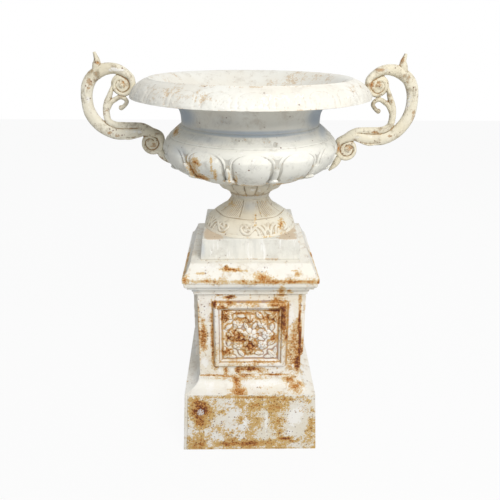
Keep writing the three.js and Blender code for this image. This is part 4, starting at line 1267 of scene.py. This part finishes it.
@dataclass
class Collar:
    """The lobed cup under the bowl."""

    base: float = 705.3
    top: float = 757.7
    stem_radius: float = 50.0
    radius: float = 91.0
    wall: float = 9.0
    hole: float = 8.8
    lobes: int = 16
    depth: float = 7.0
    around: int = 480
    weather: Weather = Weather(
        rust=(Stain(0, 756, 60, 3, 0.6), Stain(60, 750, 14, 6, 0.5)), grey=(Stain(0, 712, 60, 8, 0.45),),
        pale=(Stain(0, 740, 60, 8, 0.45),), rust_all=0.03, rust_patches=0.2, seed=81, reach=24)

    def build(self) -> None:
        """Makes and places the collar: round lobes whose feet are drawn in like a row of eggs."""
        cup = [(61, 718.4), (80, 733.1), (self.radius, 748.3), (89, self.top)]
        outer = through([(self.stem_radius, self.base), *cup], 44)
        inner = beside(through(cup, 8), self.wall)[::-1]
        inner[0, 1] = self.top
        floor = self.base + self.wall
        rest = np.vstack([inner, [(41, floor), (self.hole, floor), (self.hole, self.base)]])
        outline = np.vstack([outer, rest])
        visible = len(outer)

        def relief(row: Array, angle: Array) -> Array:
            """Lobes between grooves |cos|, with a step in at the foot of each egg."""
            share = row / (visible - 1)
            across = np.abs(np.cos(self.lobes / 2 * (angle + math.pi / 2)))
            strength = smooth(0.1, 0.4, share) * smooth(1.04, 0.95, share)
            foot = 0.42 + 0.2 * (1 - across**0.5) * 2
            egg = smooth(foot - 0.05, foot + 0.06, share + 0 * across)
            out = -self.depth * strength * (1 - across**0.6) - 4.0 * (1 - egg) * smooth(0.02, 0.3, share)
            return np.where(row < visible, out, 0.0)

        grid = roughened(round_ring(outline, self.around, relief), 0.5, 9, 82, visible)
        placed(cast("collar", grid, self.weather), "urn", FOOT_TAN, "urn_collar")


@dataclass
class Bowl:
    """The wide bowl: twelve tongues with beaded borders, darts with a ball between them, a ledge above."""

    base: float = 758.0
    belly: float = 839.0
    top: float = 896.0
    foot_radius: float = 97.0
    belly_radius: float = 226.5
    crease_radius: float = 178.0
    mouth_radius: float = 168.0
    wall: float = 9.0
    hole: float = 8.8
    tongues: int = 12
    around: int = 576
    tongue_foot: float = 38.0
    tongue_head: float = 186.0
    depth: float = 12.0
    dart_half: float = 8.0
    ball: float = 11.0
    ball_place: float = 106.0
    dart_foot: tuple[float, float] = (84.0, 96.0)
    dart_head: float = 152.0
    dart_round: float = 16.0
    groove_depth: float = 2.4
    ledge: float = 203.0
    chip_depth: float = 5.0
    weather: Weather = Weather(
        rust=(
            Stain(-136, 812, 16, 20, 0.7), Stain(-116, 794, 20, 14, 0.8), Stain(-130, 836, 14, 12, 0.6),
            Stain(-92, 836, 4, 26, 0.62), Stain(-84, 806, 5, 24, 0.6), Stain(-52, 806, 4, 22, 0.55),
            Stain(-36, 802, 4, 18, 0.55), Stain(-58, 788, 20, 6, 0.5), Stain(-10, 776, 50, 8, 0.5),
            Stain(70, 776, 30, 7, 0.55), Stain(-186, 884, 12, 12, 0.5), Stain(0, 768, 90, 5, 0.5),
            Stain(110, 790, 30, 10, 0.3),
        ),
        # The thin grey band along the top (z 894) is painted shade in the crease under the neck.
        grey=(
            Stain(-110, 884, 90, 12, 0.5), Stain(110, 886, 80, 10, 0.45), Stain(0, 894, 190, 4, 0.9),
            Stain(-170, 850, 30, 22, 0.5), Stain(0, 876, 150, 8, 0.25), Stain(40, 800, 10, 20, 0.4),
            Stain(90, 796, 10, 14, 0.4), Stain(176, 890, 20, 20, 0.7),
        ),
        # The thin pale band at z 862, along the ledge, is a painted highlight.
        pale=(Stain(0, 848, 60, 20, 0.3), Stain(100, 848, 60, 20, 0.3), Stain(0, 862, 150, 4, 0.4)),
        rust_all=0.03, rust_patches=0.22, seed=91, reach=24)
    chip: tuple[float, float] = (52.0, 877.0)

    def sides(self, low_steps: int, high_steps: int) -> tuple[Array, Array]:
        """The outline from the foot up to the belly, and from there to the crease under the neck."""
        belly = (self.belly_radius, self.belly)
        under = bend((self.foot_radius, self.base), (218.5, 774.2), belly, low_steps)
        return under, bend(belly, (222.5, 861.8), (self.crease_radius, self.top), high_steps)

    def _tongue(self, u: Array, v: Array, half: Array) -> Array:
        """Signed distance into a tongue: a strip with oval ends, its half width following the bowl.

        Inside it is positive. The straight part is half - |u|. Past an end's centre it is the half
        width less the distance to that centre, with heights divided by the end's share of a circle.
        """
        head_share, foot_share = 0.62, 0.8
        head = self.tongue_head - half * head_share
        foot = self.tongue_foot + half * foot_share
        past = np.maximum(v - head, 0) / head_share + np.maximum(foot - v, 0) / foot_share
        return half - np.hypot(u, past)

    def _relief(self, outline: Array, visible: int) -> Callable[[Array, Array], Array]:
        """Tongues, borders, darts and balls, from the distance round and the distance walked up.

        A tongue's section is a quarter of an oval from its edge to its crown. A dart is a bar with
        a round head in the gap between two tongues, and a ball hangs at its foot.
        """
        walked = walk(outline)
        sector = 2 * math.pi / self.tongues

        def relief(row: Array, angle: Array) -> Array:
            """Distance out from the axis for each row and angle."""
            turn = angle + math.pi / 2
            radius = np.maximum(outline[row, 0], 1)
            v = walked[row] + 0 * turn
            local = (turn + sector / 2) % sector - sector / 2
            u = local * radius
            wide = sector / 2 * radius
            inside = self._tongue(u, v, wide * 0.8)
            share = np.clip(inside / (wide * 0.55), 0, 1)
            out = -self.depth * (1 - np.sqrt(1 - (1 - share) ** 2))
            ended = smooth(self.tongue_head - 34, self.tongue_head + 8, v)
            ended = np.maximum(ended, smooth(self.tongue_foot - 4, self.tongue_foot - 14, v))
            out = out * (1 - ended)
            border = hill(inside + 4.5, 3.0)
            out = out + (1.0 + 5.0 * (1 - ended)) * border * smooth(120, 150, v) * smooth(200, 196, v)
            beyond = wide - np.abs(u)
            end = self.dart_head
            past = np.maximum(v - (end - self.dart_round), 0) / self.dart_round
            dart_half = self.dart_half * np.sqrt(np.clip(1 - past**2, 1e-3, 1))
            risen = smooth(*self.dart_foot, v)
            dart = arch(beyond, dart_half) * risen
            out = np.maximum(out, (-self.depth + 14 * dart) * (v < end) - NEVER * (v >= end))
            groove = hill(beyond - self.dart_half - 2.2, 1.7)
            out = out - self.groove_depth * groove * risen * smooth(end + 4, end - 4, v)
            ball = np.hypot(beyond, v - self.ball_place)
            lump = -1 + np.sqrt(np.clip(self.ball**2 - ball**2, 0, None)) - NEVER * (ball > self.ball)
            out = np.maximum(out, lump)
            out = out + 1.3 * (hill(v - self.ledge, 1.8) - 0.7 * hill(v - (self.ledge - 4.5), 2.4))
            return np.where(row < visible, out, 0.0)

        return relief

    def build(self) -> None:
        """Makes and places the bowl."""
        under, over = self.sides(40, 22)
        outer = dense(np.vstack([under, over[1:]]), 1.7)
        inner = beside(np.vstack([under[6::4], over[2::3]]), self.wall)[::-1]
        inner[0] = (self.mouth_radius, self.top)
        floor = self.base + self.wall
        rest = np.vstack([inner, [(91, floor), (self.hole, floor), (self.hole, self.base)]])
        outline = np.vstack([outer, rest])
        grid = round_ring(outline, self.around, self._relief(outline, len(outer)))
        gap = np.hypot(grid[..., 0] - self.chip[0], grid[..., 2] - self.chip[1])
        near = (gap < 8) & (grid[..., 1] < 0) & (np.arange(len(outline))[:, None] < len(outer))
        grid[..., 1] += np.where(near, self.chip_depth * smooth(6.5, 3.0, gap), 0)
        grid = roughened(grid, 0.7, 14, 92, len(outer))
        placed(cast("bowl", grid, self.weather, sharp=60), "urn", BOWL_CREAM, "urn_bowl")


@dataclass
class Rim:
    """The neck, the hanging lip and the throat in one casting."""

    base: float = 896.3
    crest: float = 1009.0
    lip_radius: float = 300.0
    lip_edge: float = 964.5
    crest_radius: float = 252.0
    neck_radius: float = 176.0
    wall: float = 8.0
    eggs: int = 24
    egg_radius: float = 285.0
    around: int = 480
    weather: Weather = Weather(
        rust=(
            Stain(-170, 990, 50, 16, 0.3), Stain(-110, 984, 40, 16, 0.3), Stain(-80, 978, 40, 14, 0.2),
            Stain(0, 965, 260, 2.5, 0.35), Stain(-190, 978, 40, 10, 0.25), Stain(220, 996, 40, 10, 0.25),
            Stain(0, 1008, 240, 3, 0.25),
        ),
        # The grey marks on the neck are painted shade: the neck under the lip, darker at both sides (x about
        # 160) and along the crease at its foot (z 900).
        grey=(Stain(-60, 925, 60, 26, 0.35), Stain(0, 900, 180, 6, 0.8), Stain(160, 925, 34, 34, 1.0),
              Stain(-160, 925, 34, 34, 0.9)),
        pale=(Stain(60, 986, 80, 16, 0.45), Stain(-20, 972, 120, 8, 0.5), Stain(180, 984, 60, 16, 0.4)),
        rust_all=0.05, rust_patches=0.3, patch_size=90, seed=101)

    def lip(self, steps: int) -> Array:
        """The outer line of the lip, from its hanging edge up to the crest."""
        return bend((self.lip_radius, self.lip_edge), (293, 995.2), (self.crest_radius, self.crest), steps)

    def build(self) -> None:
        """Makes and places the rim: lip, crest and throat, and the same line moved in by the wall."""
        throat_radius = self.neck_radius - self.wall
        throat = through([(self.crest_radius, self.crest), (232, 1000), (194, 963.9), (172, 930.1),
                          (throat_radius, self.base)], 40)
        upper = dense(np.vstack([self.lip(36), throat[1:]]), 2.2)
        under = beside(upper, self.wall)[::-1].copy()
        under[0] = (self.neck_radius, self.base)
        outline = np.vstack([upper, under])
        walked = walk(outline)
        sector = 2 * math.pi / self.eggs

        def relief(row: Array, angle: Array) -> Array:
            """Worn shallow eggs with a leaf in each on the lip, and a thin step at the crest."""
            v = walked[row] + 0 * angle
            local = (angle + math.pi / 2 + sector / 2) % sector - sector / 2
            u = local * outline[row, 0]
            half = sector / 2 * self.egg_radius
            egg = half * 0.86 - np.hypot(u, np.maximum(v - 18, 0) * 1.3)
            line = -1.2 * hill(egg, 1.8) + 0.8 * smooth(0, 8, egg)
            dart = 1.2 * hill(half - np.abs(u), 1.6) * smooth(34, 24, v)
            vein = 0.8 * np.cos((np.abs(u) * 0.8 - v * 0.5) * 0.95) * smooth(-2, 6, egg)
            fade = smooth(1, 4, v) * smooth(52, 44, v)
            step = -1.6 * smooth(55, 56, v) * smooth(66, 64, v)
            place = np.stack([angle * self.egg_radius + 0 * v, v, 0 * v], axis=-1)
            lumps = 0.8 * value_noise(place, 6, 106) * fade
            return np.where(row < len(upper), (line + dart + vein) * fade - 0.6 * fade + lumps + step, 0.0)

        grid = round_ring(outline, self.around, relief)
        rag = value_noise(grid, 7, 104) + value_noise(grid, 22, 105)
        drop = smooth(6, 0, walked[:, None]) + smooth(walked[-1] - 7, walked[-1], walked[:, None])
        grid[..., 2] += 0.8 * drop * np.maximum(rag, 0)
        grid = roughened(grid, 0.6, 16, 102)
        placed(cast("rim", grid, self.weather), "urn", LIP_CREAM, "urn_rim")


def envelope(bowl: Bowl, rim: Rim) -> Array:
    """The urn's outline as (height, radius), a little oversize, for the handles to press against."""
    under, over = bowl.sides(20, 12)
    neck = [(bowl.crease_radius, bowl.top + 0.1), (bowl.crease_radius, rim.lip_edge - 0.1)]
    return np.vstack([under, over[1:], neck, rim.lip(12)])[:, ::-1] + np.array([0, 0.4])


class Hand(Enum):
    """The two handles, and which way along X each points from the axis."""

    LEFT = -1
    RIGHT = 1

    @property
    def label(self) -> str:
        """The handle's name as the frame's nodes spell it."""
        return self.name.lower()


LEFT_MARKS = Weather(
    rust=(Stain(-398, 997, 7, 8, 0.85), Stain(-402, 981, 6, 5, 0.6), Stain(-374, 1039, 5, 4, 0.9),
          Stain(-359, 871, 6, 4, 0.8), Stain(-341, 863, 6, 4, 0.7), Stain(-251, 840, 9, 9, 0.6),
          Stain(-318, 993, 9, 9, 0.5), Stain(-235, 801, 8, 12, 0.8)),
    pale=(Stain(-405, 940, 9, 36, 0.5), Stain(-330, 1024, 30, 6, 0.5), Stain(-300, 874, 40, 6, 0.5)),
    rust_all=0.08, rust_patches=0.3, patch_size=40, seed=111, reach=14)
RIGHT_MARKS = Weather(
    rust=(Stain(372, 1050, 6, 9, 0.8), Stain(302, 991, 8, 8, 0.7), Stain(321, 1027, 12, 4, 0.6),
          Stain(414, 916, 6, 16, 0.5), Stain(321, 873, 10, 4, 0.7), Stain(360, 865, 6, 4, 0.7),
          Stain(257, 831, 9, 9, 0.6), Stain(320, 994, 9, 9, 0.5), Stain(229, 834, 6, 14, 0.8)),
    pale=(Stain(400, 950, 9, 30, 0.5), Stain(340, 1026, 30, 6, 0.4), Stain(300, 862, 40, 6, 0.5)),
    rust_all=0.08, rust_patches=0.3, patch_size=40, seed=111, reach=14)


@dataclass
class Handle:
    """A scroll handle of round strands in the plane y = 0, melted together as one casting."""

    hand: Hand
    weather: Weather
    upper: tuple[float, float] = (321.0, 988.2)
    lower: tuple[float, float] = (256.5, 844.0)
    drawn_drop: float = 144.0
    drawn_inset: float = 65.0
    depth: float = 24.0
    flatness: float = 1.6
    voxel: float = 1.15
    finial_foot: float = 28.0
    finial_height: float = 49.0
    roughness: float = 0.6
    reach_limit: float = 420.0
    reach_squeeze: float = 0.36
    peak_limit: float = 1060.0
    peak_squeeze: float = 0.08

    def _put(self, x: float, y: float) -> tuple[float, float]:
        """A place given from the upper scroll's middle; what hangs below is stretched to the lower one."""
        stretch = (self.upper[1] - self.lower[1]) / self.drawn_drop
        lean = self.upper[0] - self.lower[0] - self.drawn_inset
        fall = max(0.0, -y / self.drawn_drop)
        return self.upper[0] + x - lean * fall, self.upper[1] + (y if y > 0 else y * stretch)

    def _foot(self, x: float, y: float) -> tuple[float, float]:
        """A place given from the lower scroll's middle."""
        return self._put(x - self.drawn_inset, y - self.drawn_drop)

    @staticmethod
    def _spiral(centre: tuple[float, float], start: tuple[float, float], end: tuple[float, float],
                steps: int) -> Array:
        """A spiral: its angle grows evenly and its radius as the 1.2 power of the share walked."""
        t = np.linspace(0, 1, steps + 1)
        angle = math.pi * (start[0] + (end[0] - start[0]) * t)
        radius = start[1] + (end[1] - start[1]) * t**1.2
        return np.stack([centre[0] + radius * np.cos(angle), centre[1] + radius * np.sin(angle)], axis=1)

    def _strand(self, skin: Skin, path: Sequence, sizes: Sequence[float], steps: int, sides: int = 24,
                depth: float = 1.0, square: float = 1.0, shift: float = 0.0) -> None:
        """Adds a bar along a smooth path.

        Its section is an oval: the half width across the path follows the sizes, the half depth is
        the handle's depth times a share, and no more than the half width times the flatness.

        Args:
            skin: Takes the strand.
            path: Places in the plane.
            sizes: Half widths at even shares of the path.
            steps: Rings along it.
            sides: Points round one ring.
            depth: Share of the handle's depth.
            square: Power of the section's cosines; below 1 the section is boxier.
            shift: Moves the strand along Y.
        """
        curve = evenly(through(path, 12 * len(path)), steps + 1)
        along = np.gradient(curve, axis=0)
        along /= np.linalg.norm(along, axis=1, keepdims=True)
        half = np.interp(np.linspace(0, 1, steps + 1), np.linspace(0, 1, len(sizes)), sizes)
        deep = np.minimum(self.depth / 2 * depth, half * self.flatness)
        turn = 2 * np.pi * (np.arange(sides) + 0.5) / sides
        cos = np.sign(np.cos(turn)) * np.abs(np.cos(turn)) ** square
        sin = np.sign(np.sin(turn)) * np.abs(np.sin(turn)) ** square
        across = half[:, None] * cos[None]
        x = curve[:, :1] + along[:, 1:] * across
        z = curve[:, 1:] - along[:, :1] * across
        y = deep[:, None] * sin[None] + shift
        skin.loft(np.stack([x, y, z], axis=-1))

    def _ball(self, skin: Skin, place: tuple[float, float], radius: float, flat: float = 1.0) -> None:
        """Adds a ball, squeezed along Y by the flat share: rings of latitude from pole to pole."""
        latitude = np.linspace(-0.49, 0.49, 15) * math.pi
        turn = np.linspace(0, 2 * math.pi, 24, endpoint=False)
        x = place[0] + radius * np.cos(latitude)[:, None] * np.cos(turn)
        y = radius * flat * np.cos(latitude)[:, None] * np.sin(turn)
        z = place[1] + radius * np.sin(latitude)[:, None] + 0 * turn
        skin.loft(np.stack([x, y, z], axis=-1))

    def _shape(self) -> Skin:
        """All strands of the handle, on the right of the urn."""
        put, foot = self._put, self._foot
        skin = Skin()
        sweep = [put(4, 36), put(32, 38), put(58, 28), put(78, 10), put(90, -20), put(90, -53), put(79, -81),
                 put(58, -104), put(28, -119), put(0, -121), put(-28, -118), put(-50, -114)]
        arm = [*self._spiral(self.upper, (3.6, 8), (0.75, 29), 17), *sweep,
               *self._spiral(self.lower, (0.72, 29), (3.3, 8), 14)]
        sizes = [3.5, 4.5, 5, 6.5, 11, 14.5, 15, 15.5, 15.5, 16, 15.5, 14, 11.5, 7.5, 6, 4.5, 3.5]
        self._strand(skin, arm, sizes, 240, square=0.92)

        def tip(x: float, share: float) -> tuple[float, float]:
            """A place on the finial, as a share of its height."""
            return put(x, self.finial_foot + self.finial_height * share)

        self._strand(skin, [tip(56, -0.1), tip(57.5, 0.3), tip(56, 0.6), tip(59, 0.85), tip(61, 1)],
                     [14, 12.5, 10, 5.5, 3.4], 30, depth=0.8)
        band = [put(22, 2), put(31, -22), put(40, -42), put(44, -57), put(44, -76), put(40, -90),
                put(24, -99), put(0, -101), put(-26, -101), put(-50, -104), foot(-18, 22)]
        self._strand(skin, band, [2, 6, 8, 8.5, 8.5, 9, 9.5, 9, 9, 8.5, 6], 120, depth=0.72)
        hook = [put(42, -60), put(32, -44), put(20, -36), put(7, -30), put(-5, -34), put(-9, -43),
                put(3, -56)]
        self._strand(skin, hook, [7, 7, 6, 5.5, 5, 4.5], 60, depth=0.6)
        tail = [foot(-19, -14), foot(-26, -32), foot(-34, -42), foot(-44, -52)]
        self._strand(skin, tail, [8, 10, 6.5, 2], 30, depth=0.8)
        for scroll, web in ((self.upper, 27), (self.lower, 25)):
            self._ball(skin, scroll, 9, 1.2)
            self._ball(skin, scroll, web, 0.24)
        self._ball(skin, put(6, -56), 6.5)
        for side in (-1, 1):
            vein = [put(84, 2), put(89, -12), put(91, -26)]
            self._strand(skin, vein, [1, 3.2, 1], 12, 12, 0.3, shift=side * 11)
            self._strand(skin, [put(-40, -126), put(-10, -133), put(20, -130)], [1, 2.6, 1], 16, 12, 0.25,
                         shift=side * 8)
        return skin

    def _melted(self, skin: Skin, name: str) -> bpy.types.Object:
        """Joins the strands into one closed skin by voxels, then smooths it a little."""
        piece = skin.write(name)
        remesh = piece.modifiers.new("join", "REMESH")
        remesh.mode = "VOXEL"
        remesh.voxel_size = self.voxel * MM
        soften = piece.modifiers.new("soften", "SMOOTH")
        soften.iterations = 3
        soften.factor = 0.5
        seen = piece.evaluated_get(bpy.context.evaluated_depsgraph_get())
        mesh = bpy.data.meshes.new_from_object(seen)
        piece.modifiers.clear()
        rough = piece.data
        piece.data = mesh
        bpy.data.meshes.remove(rough)
        mesh.name = name
        return piece

    def build(self, urn: Array) -> None:
        """Makes and places the handle, pressed against the urn and squeezed at its far ends.

        Args:
            urn: The urn's outline as (height, radius).
        """
        piece = self._melted(self._shape(), f"scroll_{self.hand.label}")
        points = points_of(piece)
        points += self.roughness * fractal(points, 7, 112)[:, None] * np.array([0.6, 1.0, 0.6])
        flat = np.hypot(points[:, 0], points[:, 1])
        skin = np.interp(points[:, 2], urn[:, 0], urn[:, 1], left=0, right=0)
        grow = np.maximum(flat, skin) / np.maximum(flat, 1)
        points[:, :2] *= grow[:, None]
        points[:, 0] -= self.reach_squeeze * np.maximum(points[:, 0] - self.reach_limit, 0)
        points[:, 2] -= self.peak_squeeze * np.maximum(points[:, 2] - self.peak_limit, 0)
        if self.hand is Hand.LEFT:
            points[:, :2] *= -1
        piece.data.vertices.foreach_set("co", (points * MM).astype(np.float32).ravel())
        piece.data.polygons.foreach_set("use_smooth", np.ones(len(piece.data.polygons), bool))
        piece.data.update()
        marked(piece, self.weather)
        placed(piece, "urn", TAN, f"handle_{self.hand.label}")


@dataclass
class Hardware:
    """Rods, nuts, washers and screws stay as the frame's own pieces, in bare iron."""

    bodies: tuple[str, ...] = ("tie_", "urn_rod", "urn_nut", "urn_washer", "lip_", "belly_")

    def build(self) -> None:
        """Paints every node whose name starts as one of these."""
        for name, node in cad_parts.items():
            if name.startswith(self.bodies):
                dressed(node, IRON)
                log.info("%s: kept, in bare iron", name)


# ---------------------------------------------------------------- studio


@dataclass
class Studio:
    """A pale floor, soft light, and a camera where the photograph was taken from."""

    eye: tuple[float, float, float] = (-28.1, -1383.7, 1111.1)
    heading: float = -0.0210
    pitch: float = 0.3897
    roll: float = 0.0068
    lens: float = 38.193
    sensor: float = 36.0
    aim: tuple[float, float, float] = (0.0, 0.0, 0.55)
    sky: Colour = (0.93, 0.96, 1.0)
    sky_strength: float = 0.5
    floor_half: float = 6000.0
    floor_depth: float = 10.0
    floor_tone: Colour = (0.6, 0.6, 0.59)
    floor_glow: float = 0.93

    def camera(self) -> None:
        """Makes the camera: it looks along the heading, down by the pitch, and leans by the roll."""
        a, p, r = self.heading, self.pitch, self.roll
        ahead = np.array([-math.sin(a) * math.cos(p), math.cos(a) * math.cos(p), -math.sin(p)])
        right = np.array([math.cos(a), math.sin(a), 0.0])
        up = np.cross(right, ahead)
        leaned = math.cos(r) * right + math.sin(r) * up
        upright = -math.sin(r) * right + math.cos(r) * up
        turn = np.stack([leaned, upright, -ahead], axis=1)
        data = bpy.data.cameras.new("camera")
        data.lens = self.lens
        data.sensor_width = self.sensor
        camera = bpy.data.objects.new("camera", data)
        place = Matrix(turn.tolist()).to_4x4()
        place.translation = Vector(self.eye) * MM
        camera.matrix_world = place
        bpy.context.scene.collection.objects.link(camera)
        bpy.context.scene.camera = camera

    def _lamp(self, name: str, place: Sequence[float], size: float, power: float, tint: Colour) -> None:
        """Adds a square soft lamp that points at the middle of the object; lengths are in metres."""
        data = bpy.data.lights.new(name, "AREA")
        data.size = size
        data.energy = power
        data.color = tint
        lamp = bpy.data.objects.new(name, data)
        way = Vector(self.aim) - Vector(place)
        lamp.matrix_world = Matrix.Translation(place) @ way.to_track_quat("-Z", "Y").to_matrix().to_4x4()
        bpy.context.scene.collection.objects.link(lamp)

    def light(self) -> None:
        """A white background to the camera and to reflections, dim even light, and two lamps."""
        world = bpy.data.worlds.new("studio")
        world.use_nodes = True
        bpy.context.scene.world = world
        nodes = Nodes(world.node_tree)
        camera, glossy = (nodes.node("ShaderNodeLightPath", {}, {}, f"Is {ray} Ray")
                          for ray in ("Camera", "Glossy"))
        dim = nodes.node("ShaderNodeBackground", {}, {0: (*self.sky, 1), 1: self.sky_strength})
        white = nodes.node("ShaderNodeBackground", {}, {0: (1, 1, 1, 1)})
        mixed = nodes.node("ShaderNodeMixShader", {}, {0: camera.higher(glossy), 1: dim, 2: white})
        nodes.node("ShaderNodeOutputWorld", {}, {0: mixed})
        self._lamp("key", (0.9, -2.3, 2.5), 1.4, 74, (1.0, 0.985, 0.965))
        self._lamp("back", (0.6, 2.2, 2.4), 2.0, 14, (1, 1, 1))

    def floor(self) -> None:
        """A pale floor that the camera sees as near white, with the object's shadow kept."""
        skin = Skin()
        half = self.floor_half
        skin.loft(np.array([[(-half, -half, z), (half, -half, z), (half, half, z), (-half, half, z)]
                            for z in (-self.floor_depth, 0.0)]))
        floor = skin.write("floor")
        sh = Shader("pale_floor")
        sh.connect("Base Color", (*self.floor_tone, 1))
        sh.connect("Roughness", 0.9)
        share = sh.node("ShaderNodeLightPath", {}, {}, "Is Camera Ray") * self.floor_glow
        glow = sh.node("ShaderNodeEmission", {}, {})
        lit = Wire(sh, sh.surface.outputs[0])
        sh.show(sh.node("ShaderNodeMixShader", {}, {0: share, 1: lit, 2: glow}))
        floor.data.materials.append(sh.material)


def main() -> None:
    """Builds the studio, the pedestal and the urn in order."""
    logging.basicConfig(level=logging.INFO, format="%(name)s: %(message)s")
    bpy.context.scene.view_settings.view_transform = "Standard"
    studio = Studio()
    studio.camera()
    studio.light()
    studio.floor()
    bowl, rim = Bowl(), Rim()
    for part in (Block(), Skirt(), Panels(), Cap(), Plinth(), Foot(), Collar(), bowl, rim):
        part.build()
    urn = envelope(bowl, rim)
    Handle(Hand.LEFT, weather=LEFT_MARKS).build(urn)
    Handle(Hand.RIGHT, lower=(254.0, 829.0), weather=RIGHT_MARKS).build(urn)
    Hardware().build()


if __name__ == "__main__":
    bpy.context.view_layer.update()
    main()
